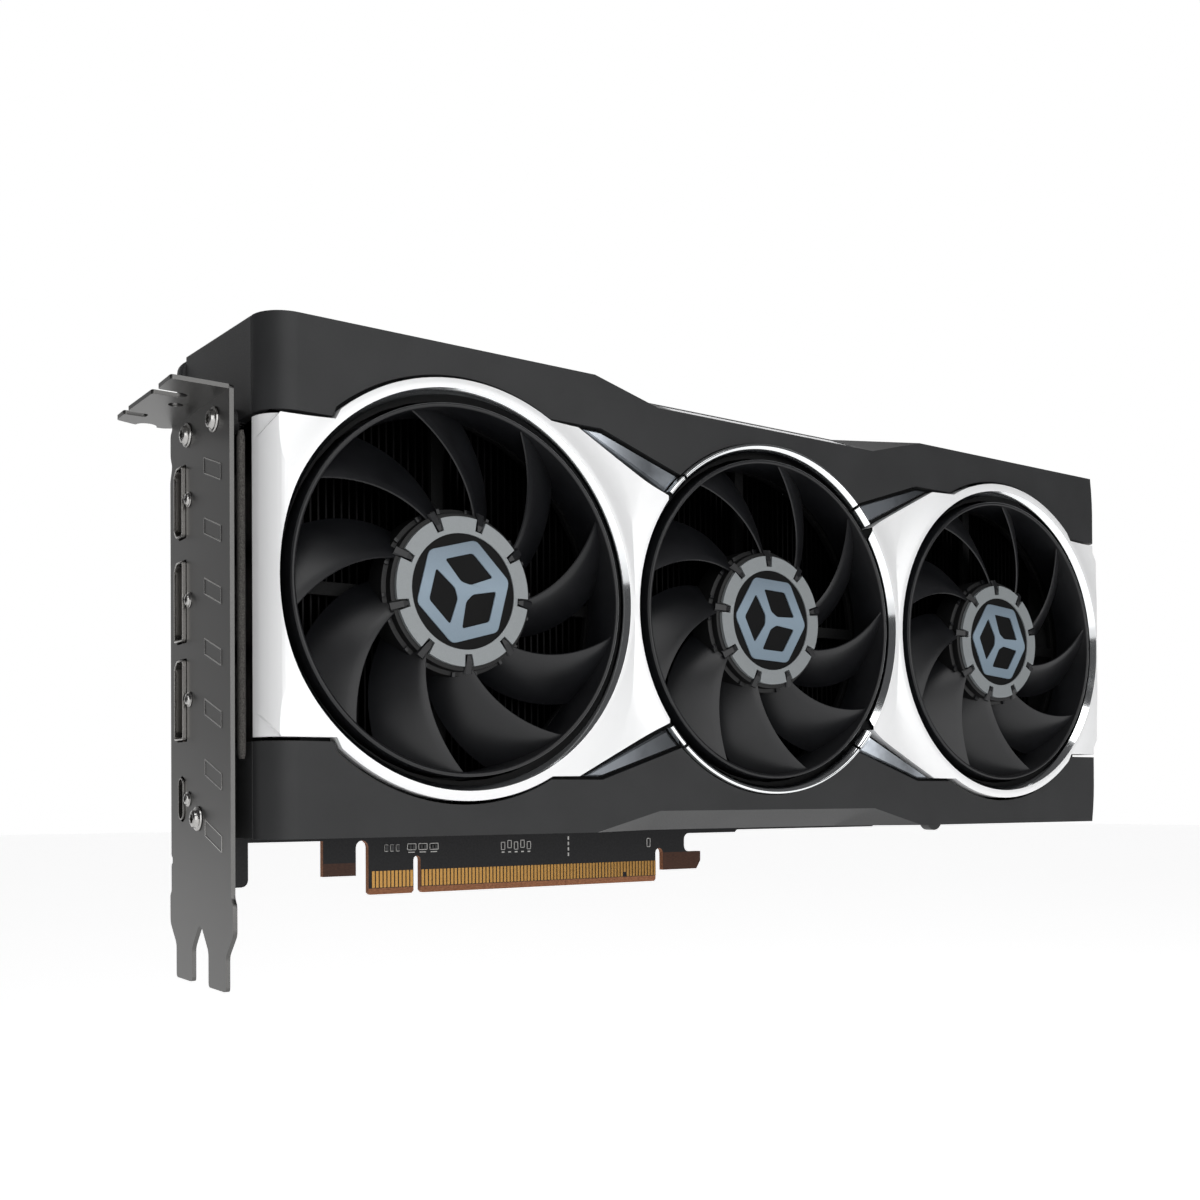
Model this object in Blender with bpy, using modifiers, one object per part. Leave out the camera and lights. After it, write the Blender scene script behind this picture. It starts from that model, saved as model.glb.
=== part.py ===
"""Triple-fan graphics card with a two-slot bracket, modelled piece by piece.

Card frame: X runs from the outer face of the slot bracket to the far end, Y = 0 is the
component face of the circuit board with the fans towards -Y, and Z = 0 is the bottom of
the edge connector. The sizes below are in millimetres and the objects in metres.
"""

from math import atan2, cos, degrees, hypot, pi, radians, sin

import bmesh
import bpy
from mathutils import Matrix, Vector

MM = 0.001
GAP = 0.3
SMALL_GAP = 0.1

# Shroud
CARD_LENGTH = 267.0
FRONT_Y = -41.0
CENTER_Z = 66.4
HALF_HEIGHT = 51.7
TOP_Z = CENTER_Z + HALF_HEIGHT
BOTTOM_Z = CENTER_Z - HALF_HEIGHT
LEFT_X = 4.0
CORNER_R = 7.0
FAR_CORNER_R = 3.0
PANEL_T = 2.3
WRAP_Y = -34.0
STRIP_Y = -29.7
END_TAPER = 3.0
SEAM = 0.8

# Fans
FAN_X = 135.3
FAN_PITCH = 87.1
FAN_CENTERS = [FAN_X - FAN_PITCH, FAN_X, FAN_X + FAN_PITCH]
LIP_Y = -42.4
LIP_R = 42.3
LIP_DEPTH = 1.5
OPENING_R = 41.2
RIM_R = 43.2
RIM_SHOULDER_R = 45.2
BLADE_COUNT = 9
BLADE_PHASES = (15.5, -2.5, -4.5)
BADGE_Y = -40.3
HUB_FRONT_Y = -39.6
RING_FRONT_Y = -42.0
ROTOR_BACK_Y = -31.0
RING_R = 39.4
RING_T = 1.0
HUB_R = 16.9
BADGE_R = 15.9
NOTCH_R = 13.2

# Angular design of the front, measured from the middle fan's centre
WING_TOP = 39.8
WING_OUTER = 57.9
WING_INNER = 51.9
WING_TIP_HIGH = (29.3, 32.3)
WING_TIP_LOW = (33.3, 26.9)
SHOULDER_Z = 32.4
SHOULDER_LENGTH = 14.2

# Chamfered recess in the top and bottom front edges
RECESS_TOP_HALF = 53.5
RECESS_FLOOR_HALF = 35.5
RECESS_CREST_HALF = 31.0
RECESS_DROP = 4.7
RECESS_DEPTH = 11.0

# Rear housing, backplate and board
HOUSING_BACK_Y = 5.4
TOP_BACK_Z = 120.3
HOUSING_T = 1.8
BACKPLATE_Y = (5.7, 8.7)
BOARD_T = 1.57
BOARD_TOP_Z = 103.0
BOARD_BOTTOM_Z = 12.65
BOARD_X = (1.7, 250.0)

# Slot bracket
BRACKET_T = 0.9
BRACKET_TOP_Z = 104.3
BRACKET_BOTTOM_Z = -15.7
PLATE_Y = (-32.6, 4.2)
FOOT_Y = (-33.7, 5.04)
SLOT_PITCH = 20.32
PRONG_W = 10.19
PRONG_CENTERS = [-4.17, -4.17 - SLOT_PITCH]
TAB_DEPTH = 11.43

# Edge connector
KEY_X = 57.6
FINGER_PITCH = 1.0
FINGER_W = 0.7
FINGER_Z = (1.6, 5.5)


def clear_scene():
    for item in list(bpy.data.objects):
        bpy.data.objects.remove(item, do_unlink=True)


def make_collection(name):
    collection = bpy.data.collections.new(name)
    bpy.context.scene.collection.children.link(collection)
    return collection


def make_material(name, color, roughness, metallic):
    material = bpy.data.materials.new(name)
    material.use_nodes = True
    shader = material.node_tree.nodes["Principled BSDF"]
    shader.inputs["Base Color"].default_value = (*color, 1.0)
    shader.inputs["Roughness"].default_value = roughness
    shader.inputs["Metallic"].default_value = metallic
    return material


def add_object(name, mesh, collection, material=None):
    item = bpy.data.objects.new(name, mesh)
    collection.objects.link(item)
    if material is not None:
        mesh.materials.clear()
        mesh.materials.append(material)
    return item


def mesh_from(bm, name):
    bmesh.ops.recalc_face_normals(bm, faces=bm.faces)
    mesh = bpy.data.meshes.new(name)
    bm.to_mesh(mesh)
    bm.free()
    return mesh


def as_cutter(item):
    CUTTERS.objects.link(item)
    PARTS.objects.unlink(item)
    item.hide_render = True
    item.display_type = "WIRE"
    return item


def shade_round(item, angle=35.0):
    item.data.shade_smooth()
    item.data.set_sharp_from_angle(angle=radians(angle))


def boolean(item, operand, operation="DIFFERENCE"):
    modifier = item.modifiers.new(operation.lower(), "BOOLEAN")
    modifier.operation = operation
    modifier.solver = "EXACT"
    modifier.object = operand
    return modifier


def cut(item, *cutters):
    for cutter in cutters:
        boolean(item, as_cutter(cutter))
    return item


def unite(item, *others):
    for other in others:
        boolean(item, as_cutter(other), "UNION")
    return item


# Shape builders: all of them take millimetres


def box(name, low, high, material=None):
    bm = bmesh.new()
    size = [b - a for a, b in zip(low, high)]
    middle = [(a + b) / 2 for a, b in zip(low, high)]
    place = Matrix.Translation(Vector(middle) * MM) @ Matrix.Diagonal((*[s * MM for s in size], 1.0))
    bmesh.ops.create_cube(bm, size=1.0, matrix=place)
    return add_object(name, mesh_from(bm, name), PARTS, material)


def cylinder(name, center, radius, low, high, axis="Y", segments=24, material=None, end_radius=None):
    """A cylinder or cone along an axis; center holds its two other coordinates."""
    bm = bmesh.new()
    end_radius = radius if end_radius is None else end_radius
    turn = {"X": Matrix.Rotation(pi / 2, 4, "Y"), "Y": Matrix.Rotation(-pi / 2, 4, "X"), "Z": Matrix()}[axis]
    middle = list(center)
    middle.insert("XYZ".index(axis), (low + high) / 2)
    bmesh.ops.create_cone(bm, cap_ends=True, segments=segments, radius1=radius * MM,
                          radius2=end_radius * MM, depth=(high - low) * MM,
                          matrix=Matrix.Translation(Vector(middle) * MM) @ turn)
    item = add_object(name, mesh_from(bm, name), PARTS, material)
    shade_round(item)
    return item


def flat_piece(name, plane, outline, low, high, holes=(), material=None):
    """A flat outline in the XZ, YZ or XY plane, as thick as low to high on the third axis."""
    curve = bpy.data.curves.new(name, "CURVE")
    curve.dimensions = "2D"
    curve.fill_mode = "BOTH"
    curve.extrude = (high - low) / 2 * MM
    for loop in [outline, *holes]:
        spline = curve.splines.new("POLY")
        spline.points.add(len(loop) - 1)
        for point, (u, v) in zip(spline.points, loop):
            point.co = (u * MM, v * MM, 0.0, 1.0)
        spline.use_cyclic_u = True
    guide = bpy.data.objects.new(name + "_outline", curve)
    middle = (low + high) / 2 * MM
    placement = {
        "XZ": (Vector((0, middle, 0)), (pi / 2, 0, 0)),
        "YZ": (Vector((middle, 0, 0)), (pi / 2, 0, pi / 2)),
        "XY": (Vector((0, 0, middle)), (0, 0, 0)),
    }[plane]
    guide.location, guide.rotation_euler = placement
    PARTS.objects.link(guide)
    bpy.context.view_layer.update()
    solid = bpy.data.meshes.new_from_object(guide.evaluated_get(bpy.context.evaluated_depsgraph_get()))
    bm = bmesh.new()
    bm.from_mesh(solid)
    bmesh.ops.remove_doubles(bm, verts=bm.verts, dist=0.002 * MM)
    bmesh.ops.transform(bm, matrix=guide.matrix_world, verts=bm.verts)
    bpy.data.objects.remove(guide, do_unlink=True)
    return add_object(name, mesh_from(bm, name), PARTS, material)


def turned(name, center, profile, segments=32, material=None, closed=False):
    """A profile of (radius, y) points turned about the Y axis through center (x, z)."""
    points = [Vector((radius * MM, y * MM, 0.0)) for radius, y in profile]
    mesh = bpy.data.meshes.new(name)
    edges = [(i, i + 1) for i in range(len(points) - 1)]
    if closed:
        edges.append((len(points) - 1, 0))
    mesh.from_pydata(points, edges, [])
    item = add_object(name, mesh, PARTS, material)
    screw = item.modifiers.new("turn", "SCREW")
    screw.axis = "Y"
    screw.steps = segments
    screw.render_steps = segments
    screw.use_merge_vertices = True
    screw.merge_threshold = 0.00001
    item.location = (center[0] * MM, 0.0, center[1] * MM)
    bpy.context.view_layer.update()
    evaluated = item.evaluated_get(bpy.context.evaluated_depsgraph_get())
    solid = bpy.data.meshes.new_from_object(evaluated)
    item.modifiers.clear()
    bm = bmesh.new()
    bm.from_mesh(solid)
    bmesh.ops.remove_doubles(bm, verts=bm.verts, dist=0.001 * MM)
    bmesh.ops.recalc_face_normals(bm, faces=bm.faces)
    bm.to_mesh(mesh)
    bm.free()
    if material is not None:
        mesh.materials.clear()
        mesh.materials.append(material)
    shade_round(item)
    return item


def arc(center, radius, start, end, steps):
    """Points on a circle from one angle to another, in degrees from the first axis."""
    angles = [radians(start + (end - start) * i / steps) for i in range(steps + 1)]
    return [(center[0] + radius * cos(a), center[1] + radius * sin(a)) for a in angles]


def circle(center, radius, steps):
    return arc(center, radius, 0, 360, steps)[:-1]


def rounded_rect(low, high, radius, steps=3):
    (u0, v0), (u1, v1) = low, high
    corners = [((u1 - radius, v1 - radius), 0), ((u0 + radius, v1 - radius), 90),
               ((u0 + radius, v0 + radius), 180), ((u1 - radius, v0 + radius), 270)]
    points = []
    for center, start in corners:
        points += arc(center, radius, start, start + 90, steps)
    return points


def mirrored_z(points):
    return [(x, 2 * CENTER_Z - z) for x, z in reversed(points)]


def mirrored_x(points):
    return [(2 * FAN_X - x, z) for x, z in reversed(points)]


# Front shroud: two covers, two bright panels, four wings, two rim arcs, one light bar


def shoulder_arc():
    """The step of the upper cover round the first fan, left to right."""
    center = (FAN_CENTERS[0], CENTER_Z)
    left = degrees(atan2(SHOULDER_Z + 2.0, -(RIM_SHOULDER_R ** 2 - (SHOULDER_Z + 2.0) ** 2) ** 0.5))
    right = degrees(atan2(WING_TOP, (RIM_SHOULDER_R ** 2 - WING_TOP ** 2) ** 0.5))
    return arc(center, RIM_SHOULDER_R, left, right, 14)


def cover_edge_half():
    """Lower edge of the upper cover, from the bracket end to the middle fan's rim."""
    wing_top = CENTER_Z + WING_TOP
    tip_x, tip_z = WING_TIP_HIGH
    return [(LEFT_X - 3, CENTER_Z + SHOULDER_Z),
            (LEFT_X + SHOULDER_LENGTH, CENTER_Z + SHOULDER_Z),
            *shoulder_arc(),
            (FAN_X - WING_INNER, wing_top),
            (FAN_X - tip_x, CENTER_Z + tip_z)]


def cover_outline():
    half = cover_edge_half()
    tip = half[-1]
    start = degrees(atan2(tip[1] - CENTER_Z, tip[0] - FAN_X))
    rim = arc((FAN_X, CENTER_Z), RIM_R + 0.2, start, 180 - start, 16)
    top = TOP_Z + 2
    return [(LEFT_X - 3, top), *half, *rim, *mirrored_x(half), (2 * FAN_X - LEFT_X + 3, top)]


def end_line():
    """The far end, which leans in towards its top and bottom corners."""
    return [(CARD_LENGTH - END_TAPER, BOTTOM_Z), (CARD_LENGTH, CENTER_Z - SHOULDER_Z),
            (CARD_LENGTH, CENTER_Z + SHOULDER_Z), (CARD_LENGTH - END_TAPER, TOP_Z)]


def front_shell(name, material):
    """The whole front skin: rounded ends, an open back and thick top and bottom strips."""
    near = arc((LEFT_X + CORNER_R, FRONT_Y + CORNER_R), CORNER_R, 180, 270, 6)
    far = arc((CARD_LENGTH - FAR_CORNER_R, FRONT_Y + FAR_CORNER_R), FAR_CORNER_R, 270, 360, 3)
    profile = [(LEFT_X, STRIP_Y), *near, *far, (CARD_LENGTH, STRIP_Y)]
    shell = flat_piece(name, "XY", profile, BOTTOM_Z, TOP_Z, material=material)
    inner_y = FRONT_Y + PANEL_T
    back_y = STRIP_Y + 5
    drop = RECESS_DROP + 1.9
    hollow = [(inner_y, BOTTOM_Z + drop), (STRIP_Y, BOTTOM_Z + 2.9), (back_y, BOTTOM_Z + 2.9),
              (back_y, TOP_Z - 2.9), (STRIP_Y, TOP_Z - 2.9), (inner_y, TOP_Z - drop)]
    inside = flat_piece(name + "_inside", "YZ", hollow, LEFT_X + 2, CARD_LENGTH - END_TAPER - 2)
    near_end = box(name + "_near_end", (LEFT_X - 1, WRAP_Y, 0), (LEFT_X + 4, 0, 130))
    far_end = box(name + "_far_end", (CARD_LENGTH - 6, WRAP_Y, 0), (CARD_LENGTH + 1, 0, 130))
    cut(shell, inside, near_end, far_end)
    taper = [(LEFT_X - 2, BOTTOM_Z - 1), *end_line(), (LEFT_X - 2, TOP_Z + 1)]
    ends = flat_piece(name + "_ends", "XZ", taper, FRONT_Y - 5, 0)
    boolean(shell, as_cutter(ends), "INTERSECT")
    return shell


def front_piece(name, outline, material, raised=()):
    """Part of the front skin inside an outline, raised round the listed fans."""
    shell = front_shell(name, material)
    for center_x in raised:
        unite(shell, lip_swell(f"{name}_swell", center_x))
    region = flat_piece(name + "_region", "XZ", outline, FRONT_Y - 5, 0)
    boolean(shell, as_cutter(region), "INTERSECT")
    return shell


def opening_cutter(name, center_x):
    """Fan opening with the cone that bevels its front edge."""
    slope = (LIP_R - OPENING_R) / LIP_DEPTH
    return turned(name, (center_x, CENTER_Z),
                  [(0.0, LIP_Y - 1.0), (LIP_R + slope, LIP_Y - 1.0), (OPENING_R, LIP_Y + LIP_DEPTH),
                   (OPENING_R, STRIP_Y), (0.0, STRIP_Y)], 64)


def lip_swell(name, center_x):
    """Low cone by which a panel rises to the edge of a fan opening."""
    return cylinder(name, (center_x, CENTER_Z), RIM_R - 0.2, LIP_Y, FRONT_Y + 0.4,
                    segments=64, end_radius=RIM_SHOULDER_R - 0.4)


def recess_cutter(name, sign):
    """Wedge that chamfers the front edge around the light bar; sign is 1 at the top."""
    slope = Vector((RECESS_FLOOR_HALF - RECESS_CREST_HALF, RECESS_DEPTH, RECESS_DROP))
    edge_z = TOP_Z - RECESS_DROP
    over = 2.0
    forward = -1.0 / RECESS_DEPTH
    beyond = (RECESS_DROP + over) / RECESS_DROP
    side_slope = (RECESS_TOP_HALF - RECESS_FLOOR_HALF) / RECESS_DROP
    plan_slope = (RECESS_TOP_HALF - RECESS_CREST_HALF) / RECESS_DEPTH
    low = (RECESS_FLOOR_HALF - slope.x * forward, FRONT_Y - 1.0, edge_z + slope.z * forward)
    crest = (RECESS_FLOOR_HALF - slope.x * beyond, FRONT_Y + slope.y * beyond, TOP_Z + over)
    corner = (RECESS_TOP_HALF + side_slope * over + plan_slope, FRONT_Y - 1.0, TOP_Z + over)
    bm = bmesh.new()
    for half, y, z in (low, crest, corner):
        height = CENTER_Z + sign * (z - CENTER_Z)
        for side in (-1, 1):
            bm.verts.new(Vector((FAN_X + side * half, y, height)) * MM)
    bmesh.ops.convex_hull(bm, input=bm.verts)
    return add_object(name, mesh_from(bm, name), PARTS)


def light_bar_block(name, grow, material=None):
    """Slanted block that lies in the floor of the upper recess."""
    tilt = atan2(RECESS_DROP, RECESS_DEPTH)
    slant = hypot(RECESS_DROP, RECESS_DEPTH)
    center = Vector((FAN_X, FRONT_Y + RECESS_DEPTH / 2, TOP_Z - RECESS_DROP / 2))
    bm = bmesh.new()
    size = Matrix.Diagonal((60 + 2 * grow, slant - 3.4 + 2 * grow, 3.0 + 2 * grow, 1 / MM))
    drop = Matrix.Translation((0, 0, -1.6 * MM))
    place = Matrix.Translation(center * MM) @ Matrix.Rotation(tilt, 4, "X") @ drop
    bmesh.ops.create_cube(bm, size=1.0, matrix=place @ Matrix.Diagonal(
        (size[0][0] * MM, size[1][1] * MM, size[2][2] * MM, 1.0)))
    return add_object(name, mesh_from(bm, name), PARTS, material)


def build_covers():
    upper = front_piece("upper_cover", cover_outline(), CHARCOAL)
    cut(upper, recess_cutter("upper_recess", 1), light_bar_block("light_bar_window", 0.2))
    lower = front_piece("lower_cover", mirrored_z(cover_outline()), CHARCOAL)
    cut(lower, recess_cutter("lower_recess", -1))
    light_bar_block("light_bar", 0.0, CLEAR)


def wing_corners():
    """Upper left wing, clockwise from its outer corner."""
    return [(FAN_X - WING_OUTER, CENTER_Z + WING_TOP), (FAN_X - WING_INNER, CENTER_Z + WING_TOP),
            (FAN_X - WING_TIP_HIGH[0], CENTER_Z + WING_TIP_HIGH[1]),
            (FAN_X - WING_TIP_LOW[0], CENTER_Z + WING_TIP_LOW[1])]


def wing_outline():
    """The wing pulled in by half a seam at its long sides, with an arc round the fan."""
    outer, inner, high, low = wing_corners()
    start = degrees(atan2(high[1] - CENTER_Z, high[0] - FAN_X)) + 1.0
    end = degrees(atan2(low[1] - CENTER_Z, low[0] - FAN_X)) - 1.0
    tip = arc((FAN_X, CENTER_Z), RIM_R + 0.3, start, end, 4)
    return [(outer[0] + 2 * SEAM, outer[1] - SEAM), (inner[0] - SEAM, inner[1] - SEAM), *tip]


def build_wings():
    outline = wing_outline()
    across = mirrored_x(outline)
    shapes = [outline, across, mirrored_z(outline), mirrored_z(across)]
    names = ["wing_upper_left", "wing_upper_right", "wing_lower_left", "wing_lower_right"]
    for name, shape in zip(names, shapes):
        flat_piece(name, "XZ", shape, FRONT_Y + 0.4, FRONT_Y + PANEL_T, material=CHROME)


def panel_outline():
    """Left bright panel: under the cover's edge, along the wings and round the middle fan."""
    edge = cover_edge_half()
    shoulders = [(x, z - SEAM) for x, z in edge[:2]]
    center = (FAN_CENTERS[0], CENTER_Z)
    ring = [(center[0] + (x - center[0]) * (1 - SEAM / RIM_SHOULDER_R),
             center[1] + (z - center[1]) * (1 - SEAM / RIM_SHOULDER_R)) for x, z in shoulder_arc()]
    wing_outer, _, _, tip = wing_corners()
    upper = [*shoulders, *ring, (wing_outer[0] - SEAM / 2, wing_outer[1] - SEAM),
             (tip[0] - SEAM / 2, tip[1] - SEAM / 2)]
    return [*upper, *mirrored_z(upper)]


def build_panels():
    outline = panel_outline()
    shapes = {"left_panel": (outline, FAN_CENTERS[0]), "right_panel": (mirrored_x(outline), FAN_CENTERS[2])}
    for name, (shape, center_x) in shapes.items():
        panel = front_piece(name, shape, SILVER, raised=(center_x, FAN_X))
        cut(panel, opening_cutter(name + "_opening", center_x), opening_cutter(name + "_middle", FAN_X))


def build_rims():
    """Bright arcs that edge the middle opening in the two covers."""
    tip = wing_corners()[3]
    start = degrees(atan2(tip[1] - CENTER_Z, FAN_X - tip[0])) + 0.8
    for name, base in (("rim_arc_upper", 0), ("rim_arc_lower", 180)):
        outer = arc((FAN_X, CENTER_Z), RIM_R, base + start, base + 180 - start, 20)
        inner = arc((FAN_X, CENTER_Z), OPENING_R - 3, base + 180 - start, base + start, 20)
        rim = flat_piece(name, "XZ", outer + inner, LIP_Y, FRONT_Y + PANEL_T, material=CHROME)
        cut(rim, opening_cutter(name + "_opening", FAN_X))


# Inner frame with the fan ducts and motor mounts

FRAME_Y = (FRONT_Y + PANEL_T + 0.2, FRONT_Y + PANEL_T + 1.6)
DUCT_R = 40.2
DUCT_T = 0.7
DUCT_BACK_Y = -27.0
MOUNT_R = 15.0


def basket_window(center, start):
    """Opening between two spokes, from the motor mount out to the duct wall."""
    outer_half = 43.0
    inner_half = 39.5
    middle = start + 45.0
    outer = arc(center, DUCT_R - 0.8, middle - outer_half, middle + outer_half, 8)
    inner = arc(center, MOUNT_R, middle + inner_half, middle - inner_half, 4)
    return outer + inner


def build_frame():
    frame = box("shroud_frame", (LEFT_X + 8, FRAME_Y[0], BOTTOM_Z + 9),
                (CARD_LENGTH - 9, FRAME_Y[1], TOP_Z - 9), DARK)
    for number, x in enumerate(FAN_CENTERS, 1):
        center = (x, CENTER_Z)
        duct = cylinder(f"duct_{number}", center, DUCT_R + DUCT_T, FRAME_Y[0] + 0.3, DUCT_BACK_Y, segments=40)
        bore = cylinder(f"duct_bore_{number}", center, DUCT_R, FRONT_Y, DUCT_BACK_Y - 1.4, segments=40)
        windows = [basket_window(center, 90 * k) for k in range(4)]
        openings = flat_piece(f"basket_windows_{number}", "XZ", windows[0], DUCT_BACK_Y - 3, DUCT_BACK_Y + 2,
                              holes=windows[1:])
        unite(frame, duct)
        cut(frame, bore, openings)


# Fans: rotor, badge and motor on each axis

BLADE_ROOT_R = HUB_R - 0.7
BLADE_TIP_R = RING_R - RING_T / 2
BLADE_RISE = 1.8
BLADE_T = 1.1
BLADE_SWEEP = 1.35
BLADE_CHORD = 24.0
BLADE_DEPTH = 9.2
SHAFT_R = 1.6


def blade_section(radius, start):
    """Six points of a blade at one radius: front, middle and back on each of its sides."""
    swept = start - BLADE_SWEEP * (radius - 15.0)
    outward = (radius - BLADE_ROOT_R) / (BLADE_TIP_R - BLADE_ROOT_R)
    front_y = HUB_FRONT_Y + 0.4 - BLADE_RISE * outward
    lines = []
    for side in (-0.5, 0.5):
        for part in (0.0, 0.5, 1.0):
            bow = 2.0 * sin(pi * part)
            angle = swept + BLADE_CHORD * part - bow + degrees(side * BLADE_T / radius)
            y = front_y + BLADE_DEPTH * part
            lines.append(Vector((radius * sin(radians(angle)), y, radius * cos(radians(angle)))))
    return lines


def blades_mesh(name, phase):
    """Nine lofted blades round the hub, each a closed body."""
    bm = bmesh.new()
    stations = 5
    for number in range(BLADE_COUNT):
        start = phase + number * 360.0 / BLADE_COUNT
        rows = []
        for i in range(stations + 1):
            radius = BLADE_ROOT_R + (BLADE_TIP_R - BLADE_ROOT_R) * i / stations
            a, b, c, d, e, f = blade_section(radius, start)
            rows.append([bm.verts.new(p * MM) for p in (a, b, c, f, e, d)])
        for row, following in zip(rows, rows[1:]):
            for k in range(6):
                bm.faces.new((row[k], row[(k + 1) % 6], following[(k + 1) % 6], following[k]))
        bm.faces.new(rows[0])
        bm.faces.new(rows[-1])
    bmesh.ops.triangulate(bm, faces=bm.faces)
    return mesh_from(bm, name)


def place_on_axis(item, center_x):
    item.location = (center_x * MM, 0.0, CENTER_Z * MM)
    return item


def build_rotor(number, center_x):
    name = f"fan_rotor_{number}"
    phase = BLADE_PHASES[number - 1]
    cap_y = HUB_FRONT_Y
    rotor = turned(name, (center_x, CENTER_Z),
                   [(0.0, cap_y), (HUB_R, cap_y), (HUB_R, ROTOR_BACK_Y), (HUB_R - 1.4, ROTOR_BACK_Y),
                    (HUB_R - 1.4, cap_y + 1.6), (SHAFT_R, cap_y + 1.6), (SHAFT_R, ROTOR_BACK_Y),
                    (0.0, ROTOR_BACK_Y)], 28, BLACK)
    blades = add_object(f"blades_{number}", blades_mesh(f"blades_{number}", phase), PARTS)
    place_on_axis(blades, center_x)
    ring = turned(f"ring_{number}", (center_x, CENTER_Z),
                  [(RING_R - RING_T, RING_FRONT_Y), (RING_R, RING_FRONT_Y), (RING_R, ROTOR_BACK_Y),
                   (RING_R - RING_T, ROTOR_BACK_Y)], 45, closed=True)
    unite(rotor, blades, ring)
    return rotor


def build_badge(number, center_x):
    """Disc on the hub with a notch for each blade root."""
    points = []
    phase = BLADE_PHASES[number - 1]
    notch_half = 4.0
    for k in range(BLADE_COUNT):
        middle = 90.0 - (phase + k * 360.0 / BLADE_COUNT)
        following = middle - 360.0 / BLADE_COUNT
        for angle in (middle + notch_half, middle - notch_half):
            points.append((NOTCH_R * cos(radians(angle)), NOTCH_R * sin(radians(angle))))
        points += arc((0, 0), BADGE_R, middle - notch_half, following + notch_half, 3)
    outline = [(center_x + x, CENTER_Z + z) for x, z in points]
    flat_piece(f"hub_badge_{number}", "XZ", outline, BADGE_Y, HUB_FRONT_Y - SMALL_GAP, material=STEEL_GREY)


def build_motor(number, center_x):
    """Stator that the hub runs over, with the bearing bore for the shaft."""
    turned(f"fan_motor_{number}", (center_x, CENTER_Z),
           [(SHAFT_R + 0.4, -37.0), (12.5, -37.0), (12.5, -31.5), (6.0, -31.5), (6.0, -28.7),
            (SHAFT_R + 0.4, -28.7)], 20, COPPER, closed=True)


# Rear housing, fin stack, vapour chamber and backplate


def far_duct_clearance():
    """Room in the housings' end wall for the duct of the last fan."""
    return cylinder("far_duct_clearance", (FAN_CENTERS[-1], CENTER_Z), DUCT_R + DUCT_T + GAP,
                    WRAP_Y - 1, DUCT_BACK_Y + GAP, segments=40)


def build_upper_housing():
    inner = TOP_Z - 2.4
    low = CENTER_Z + SHOULDER_Z
    far = CARD_LENGTH - END_TAPER
    middle = CENTER_Z + GAP / 2
    outline = [(LEFT_X, low), (LEFT_X, TOP_BACK_Z), (far, TOP_BACK_Z), (far, middle),
               (far - HOUSING_T, middle), (far - HOUSING_T, inner), (LEFT_X + HOUSING_T, inner),
               (LEFT_X + HOUSING_T, low)]
    housing = flat_piece("upper_housing", "XZ", outline, WRAP_Y + GAP, HOUSING_BACK_Y, material=CHARCOAL)
    front = box("housing_front", (LEFT_X + HOUSING_T, WRAP_Y - 1, inner - 3), (far + 1, STRIP_Y + GAP, 130))
    board = box("housing_board", (LEFT_X - 1, -1.2, 90), (CARD_LENGTH, 20, BOARD_TOP_Z + 1))
    rise = TOP_BACK_Z - TOP_Z
    run = HOUSING_BACK_Y - WRAP_Y
    above = flat_piece("housing_slope", "YZ",
                       [(WRAP_Y - run, TOP_Z - rise), (HOUSING_BACK_Y + run, TOP_BACK_Z + rise),
                        (HOUSING_BACK_Y + run, 140), (WRAP_Y - run, 140)], -5, CARD_LENGTH + 5)
    sockets = box("socket_window", (SOCKET_X[0] - 1, SOCKET_Y[0] - 1.2, 105),
                  (SOCKET_X[-1] + SOCKET_W + 1, 1.0, 130))
    cut(housing, front, board, above, sockets, far_duct_clearance())
    for number, (y, z) in enumerate(BRACKET_SCREWS[:2], 1):
        boss = cylinder(f"boss_{number}", (y, z + 0.0), 2.6, BRACKET_T + GAP, LEFT_X + 0.5, "X", 16)
        web = box(f"boss_web_{number}", (LEFT_X, y - 2.6, z - 0.6), (LEFT_X + HOUSING_T, y + 2.6, z + 3.5))
        bore = cylinder(f"bore_{number}", (y, z), 1.45, -1, LEFT_X + HOUSING_T + 2, "X", 16)
        unite(housing, boss, web)
        cut(housing, bore)


def build_lower_housing():
    top = CENTER_Z - SHOULDER_Z
    far = CARD_LENGTH - END_TAPER
    floor = BOTTOM_Z + HOUSING_T
    middle = CENTER_Z - GAP / 2
    outline = [(LEFT_X, top), (LEFT_X, BOTTOM_Z), (far, BOTTOM_Z), (far, middle),
               (far - HOUSING_T, middle), (far - HOUSING_T, floor), (LEFT_X + HOUSING_T, floor),
               (LEFT_X + HOUSING_T, top)]
    housing = flat_piece("lower_housing", "XZ", outline, WRAP_Y + GAP, -0.8, material=CHARCOAL)
    front = box("lower_front", (LEFT_X + HOUSING_T, WRAP_Y - 1, 0), (far + 1, STRIP_Y + GAP, floor + 3))
    ports = box("lower_ports", (LEFT_X - 1, -8.0, floor), (LEFT_X + HOUSING_T + 1, 5, top + 1))
    cut(housing, front, ports, far_duct_clearance())
    foot = cylinder("lower_foot", (235.9, BOTTOM_Z + 0.6), 3.4, -4.0, -0.8, "Y", 20)
    y, z = BRACKET_SCREWS[2]
    boss = cylinder("boss_3", (y, z), 2.6, BRACKET_T + GAP, LEFT_X + 0.5, "X", 16)
    bore = cylinder("bore_3", (y, z), 1.45, -1, LEFT_X + HOUSING_T + 2, "X", 16)
    unite(housing, foot, boss)
    cut(housing, bore)


FIN_PITCH = 3.2
FIN_T = 0.5
FIN_TIP_Y = -25.6
SPINE_Y = -6.4
FAR_SPINE_Y = -16.5
SPINE_STEP_X = 198.0
FIN_X = (9.0, 258.0)
FIN_Z = (19.0, 113.0)


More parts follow.
